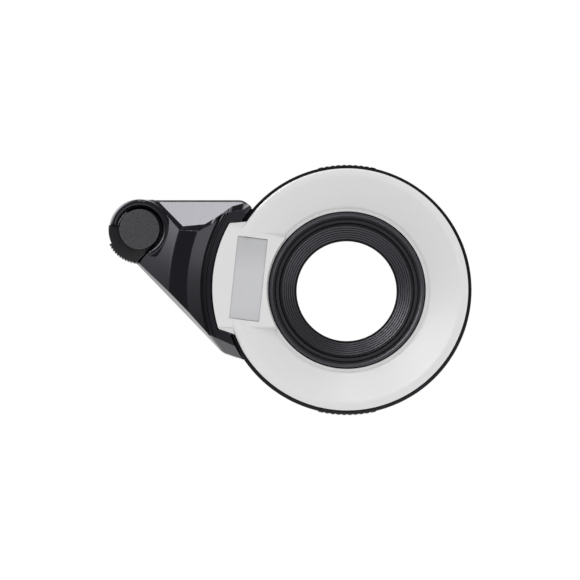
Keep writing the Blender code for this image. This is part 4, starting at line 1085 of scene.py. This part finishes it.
# Lever cap
# A dark grey plastic disc with a fine grain, pressed into the lever's boss by a pin on its back.
CAP_Z = 15.1
CAP_T = 0.7
PIN_R = 1.0
PIN_LONG = 2.3
cap_grey = moulded("cap_grey", (0.048, 0.0475, 0.053), 0.5, 0.14, 0.36, 0.7, 0.06, 0.55)
cap_profile = softened([
    (0.0, CAP_Z - PIN_LONG, 0.0), (PIN_R, CAP_Z - PIN_LONG, 0.0), (PIN_R, CAP_Z - CAP_T, 0.0),
    (DISC_R, CAP_Z - CAP_T, 0.0), (DISC_R, CAP_Z, 0.22), (0.0, CAP_Z, 0.0)], closed=False)
cap = turned(cap_profile, 128, centre=KNOB)
cap = stand_up("lever_disc", cap, cap_grey, 40.0)
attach(cap, "lever")
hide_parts("lever_cap")

# Washer, shutter blade and its screw
# A steel spring washer under the lever, and the matt black blade on the end of its shaft, which swings over
# the light inlet. The blade is held by one small screw from behind.
cad_finish("lever_washer", steel)
cad_finish("shutter_blade", matt_black)
dressed_screw("shutter_screw", "lever")

# Floor and light
# A pale studio floor well below the part; a soft box overhead in front, made of one lamp that is mirrored and
# one that only lights; and an even bright room, whose dark zones and small lamps show only in reflections.
SEEN = ("Is Camera Ray", "Is Glossy Ray", "Is Transmission Ray")
FLOOR_LEVEL = -0.075
FLOOR_HALF = 3.0
FLOOR_GREY = 0.3
FLOOR_GLOW = 0.57
FLOOR_SEEN = 0.3
FLOOR_SPAN = (-0.5, 1.0)
FLOOR_SHEEN = ((-0.25, 0.55), (-0.05, 1.1), (0.12, 1.85), (0.25, 1.85), (1.0, 1.0))
FLOOR_FRONT = (-0.24, -0.05)
FLOOR_TURN = 0.4
FLOOR_DARK = 0.15


def seen_rays(tree):
    """1 for rays that look at the set or mirror it, 0 for rays that only carry soft light."""
    path = tree.nodes.new("ShaderNodeLightPath")
    seen = path.outputs[SEEN[0]]
    for name in SEEN[1:]:
        seen = computed(tree, "MAXIMUM", seen, path.outputs[name])
    return seen


def floor_finish():
    """Pale and even to the eye; in reflections it is brighter on one side and darkens towards the front."""
    material = bpy.data.materials.new("pale_floor")
    material.use_nodes = True
    tree = material.node_tree
    shader = shader_inputs(material)
    shader["Base Color"].default_value = (FLOOR_GREY, FLOOR_GREY, FLOOR_GREY, 1.0)
    shader["Roughness"].default_value = 0.9
    shader["Specular IOR Level"].default_value = 0.0
    shader["Emission Color"].default_value = (1.0, 1.0, 1.0, 1.0)
    place = tree.nodes.new("ShaderNodeTexCoord")
    parts = tree.nodes.new("ShaderNodeSeparateXYZ")
    tree.links.new(place.outputs["Object"], parts.inputs["Vector"])
    sheen = tree.nodes.new("ShaderNodeValToRGB")
    stops = sheen.color_ramp.elements
    while len(stops) < len(FLOOR_SHEEN):
        stops.new(0.5)
    for stop, (x, glow) in zip(stops, FLOOR_SHEEN):
        stop.position = (x - FLOOR_SPAN[0]) / (FLOOR_SPAN[1] - FLOOR_SPAN[0])
        stop.color = (glow / 2, glow / 2, glow / 2, 1.0)
    tree.links.new(ranged(tree, parts.outputs["X"], *FLOOR_SPAN, 0.0, 1.0), sheen.inputs["Fac"])
    bright = computed(tree, "MULTIPLY_ADD", sheen.outputs["Color"], 2.0, -FLOOR_GREY)
    right = computed(tree, "MAXIMUM", parts.outputs["X"], 0.0)
    ahead = computed(tree, "MULTIPLY_ADD", right, FLOOR_TURN, parts.outputs["Y"])
    mirrored = computed(tree, "MULTIPLY", bright, ranged(tree, ahead, *FLOOR_FRONT, FLOOR_DARK, 1.0))
    path = tree.nodes.new("ShaderNodeLightPath")
    level = tree.nodes.new("ShaderNodeMix")
    tree.links.new(path.outputs["Is Glossy Ray"], level.inputs["Factor"])
    tree.links.new(computed(tree, "MULTIPLY_ADD", seen_rays(tree), FLOOR_SEEN, FLOOR_GLOW), level.inputs["A"])
    tree.links.new(mirrored, level.inputs["B"])
    tree.links.new(level.outputs["Result"], shader["Emission Strength"])
    return material


bm = bmesh.new()
bmesh.ops.create_grid(bm, x_segments=1, y_segments=1, size=FLOOR_HALF)
floor = placed("floor", as_mesh("floor", bm))
floor.location.z = FLOOR_LEVEL
floor.data.materials.append(floor_finish())

SOFTBOX_MIRRORED = 11.0
SOFTBOX_SOFT = 6.0
SOFTBOX = (0.15, 0.13)
SOFTBOX_AWAY = 0.7
SOFTBOX_ELEVATION = 68.2
SOFTBOX_AIM = Vector((-0.03, 0.0, 0.015))
elevation = math.radians(SOFTBOX_ELEVATION)
for name, radiance in (("overhead_softbox", SOFTBOX_MIRRORED), ("overhead_fill", SOFTBOX_SOFT)):
    lamp_data = bpy.data.lights.new(name, "AREA")
    lamp_data.shape = "RECTANGLE"
    lamp_data.size = SOFTBOX[0]
    lamp_data.size_y = SOFTBOX[1]
    lamp_data.energy = 4.0 * SOFTBOX[0] * SOFTBOX[1] * radiance
    lamp = placed(name, lamp_data)
    lamp.location = SOFTBOX_AIM + Vector((0.0, -math.cos(elevation), math.sin(elevation))) * SOFTBOX_AWAY
    lamp.rotation_euler = (SOFTBOX_AIM - lamp.location).to_track_quat("-Z", "Y").to_euler()
    lamp.visible_diffuse = name == "overhead_fill"
    lamp.visible_glossy = name == "overhead_softbox"

ROOM = 0.93
WALLS = 0.95
DARK_FRONT = (Vector((-0.1, -0.98, -0.15)).normalized(), 0.45, 0.94, WALLS, 0.18)
DARK_ABOVE = (Vector((0.45, 0.0, 0.89)).normalized(), 0.2, 0.9, WALLS, 0.12)
LAMPS = (
    (Vector((-0.7, -0.3, 0.65)).normalized(), 0.86, 3.6),
    (Vector((-0.75, 0.24, 0.62)).normalized(), 0.74, 5.0),
    (Vector((-0.7, -0.66, 0.3)).normalized(), 0.972, 2.6))


def towards(tree, ray, direction, start, end, low, high):
    """A smooth change of brightness as a ray turns towards a direction of the room."""
    turn = tree.nodes.new("ShaderNodeVectorMath")
    turn.operation = "DOT_PRODUCT"
    turn.inputs[1].default_value = direction
    tree.links.new(ray, turn.inputs[0])
    return ranged(tree, turn.outputs["Value"], start, end, low, high, "SMOOTHSTEP")


def bright_room():
    """White to the eye and even as a light; in reflections it has two dark zones and three lamps."""
    room = bpy.data.worlds.new("bright_room")
    room.use_nodes = True
    tree = room.node_tree
    tree.nodes.clear()
    out = tree.nodes.new("ShaderNodeOutputWorld")
    mix = tree.nodes.new("ShaderNodeMixShader")
    soft = tree.nodes.new("ShaderNodeBackground")
    soft.inputs["Color"].default_value = (ROOM, ROOM, ROOM, 1.0)
    shown = tree.nodes.new("ShaderNodeBackground")
    shown.inputs["Color"].default_value = (1.0, 1.0, 1.0, 1.0)
    ray = tree.nodes.new("ShaderNodeTexCoord").outputs["Generated"]
    mirrored = computed(tree, "MINIMUM", towards(tree, ray, *DARK_FRONT), towards(tree, ray, *DARK_ABOVE))
    for direction, start, glow in LAMPS:
        mirrored = computed(tree, "ADD", mirrored, towards(tree, ray, direction, start, 1.0, 0.0, glow))
    path = tree.nodes.new("ShaderNodeLightPath")
    level = tree.nodes.new("ShaderNodeMix")
    level.inputs["A"].default_value = 1.0
    tree.links.new(path.outputs["Is Glossy Ray"], level.inputs["Factor"])
    tree.links.new(mirrored, level.inputs["B"])
    tree.links.new(level.outputs["Result"], shown.inputs["Strength"])
    tree.links.new(seen_rays(tree), mix.inputs["Fac"])
    tree.links.new(soft.outputs["Background"], mix.inputs[1])
    tree.links.new(shown.outputs["Background"], mix.inputs[2])
    tree.links.new(mix.outputs["Shader"], out.inputs["Surface"])
    return room


bpy.context.scene.world = bright_room()

# Camera
# A long lens straight in front of the arm's inner end, a little below the ring's axis.
AWAY = 0.9
TILT = 3.0
FRAME_WIDE = 0.14
SENSOR = 36.0
AIM = Vector((-0.01376, -0.0092, -0.00008))
camera_data = bpy.data.cameras.new("camera")
camera_data.sensor_width = SENSOR
camera_data.lens = SENSOR * AWAY / FRAME_WIDE
camera_data.clip_start = 0.05
camera_data.clip_end = 20.0
camera = placed("camera", camera_data)
tilt = math.radians(TILT)
camera.location = AIM - Vector((0.0, math.cos(tilt), math.sin(tilt))) * AWAY
camera.rotation_euler = (math.radians(90.0 + TILT), 0.0, 0.0)
bpy.context.scene.camera = camera
bpy.context.scene.view_settings.view_transform = "Standard"
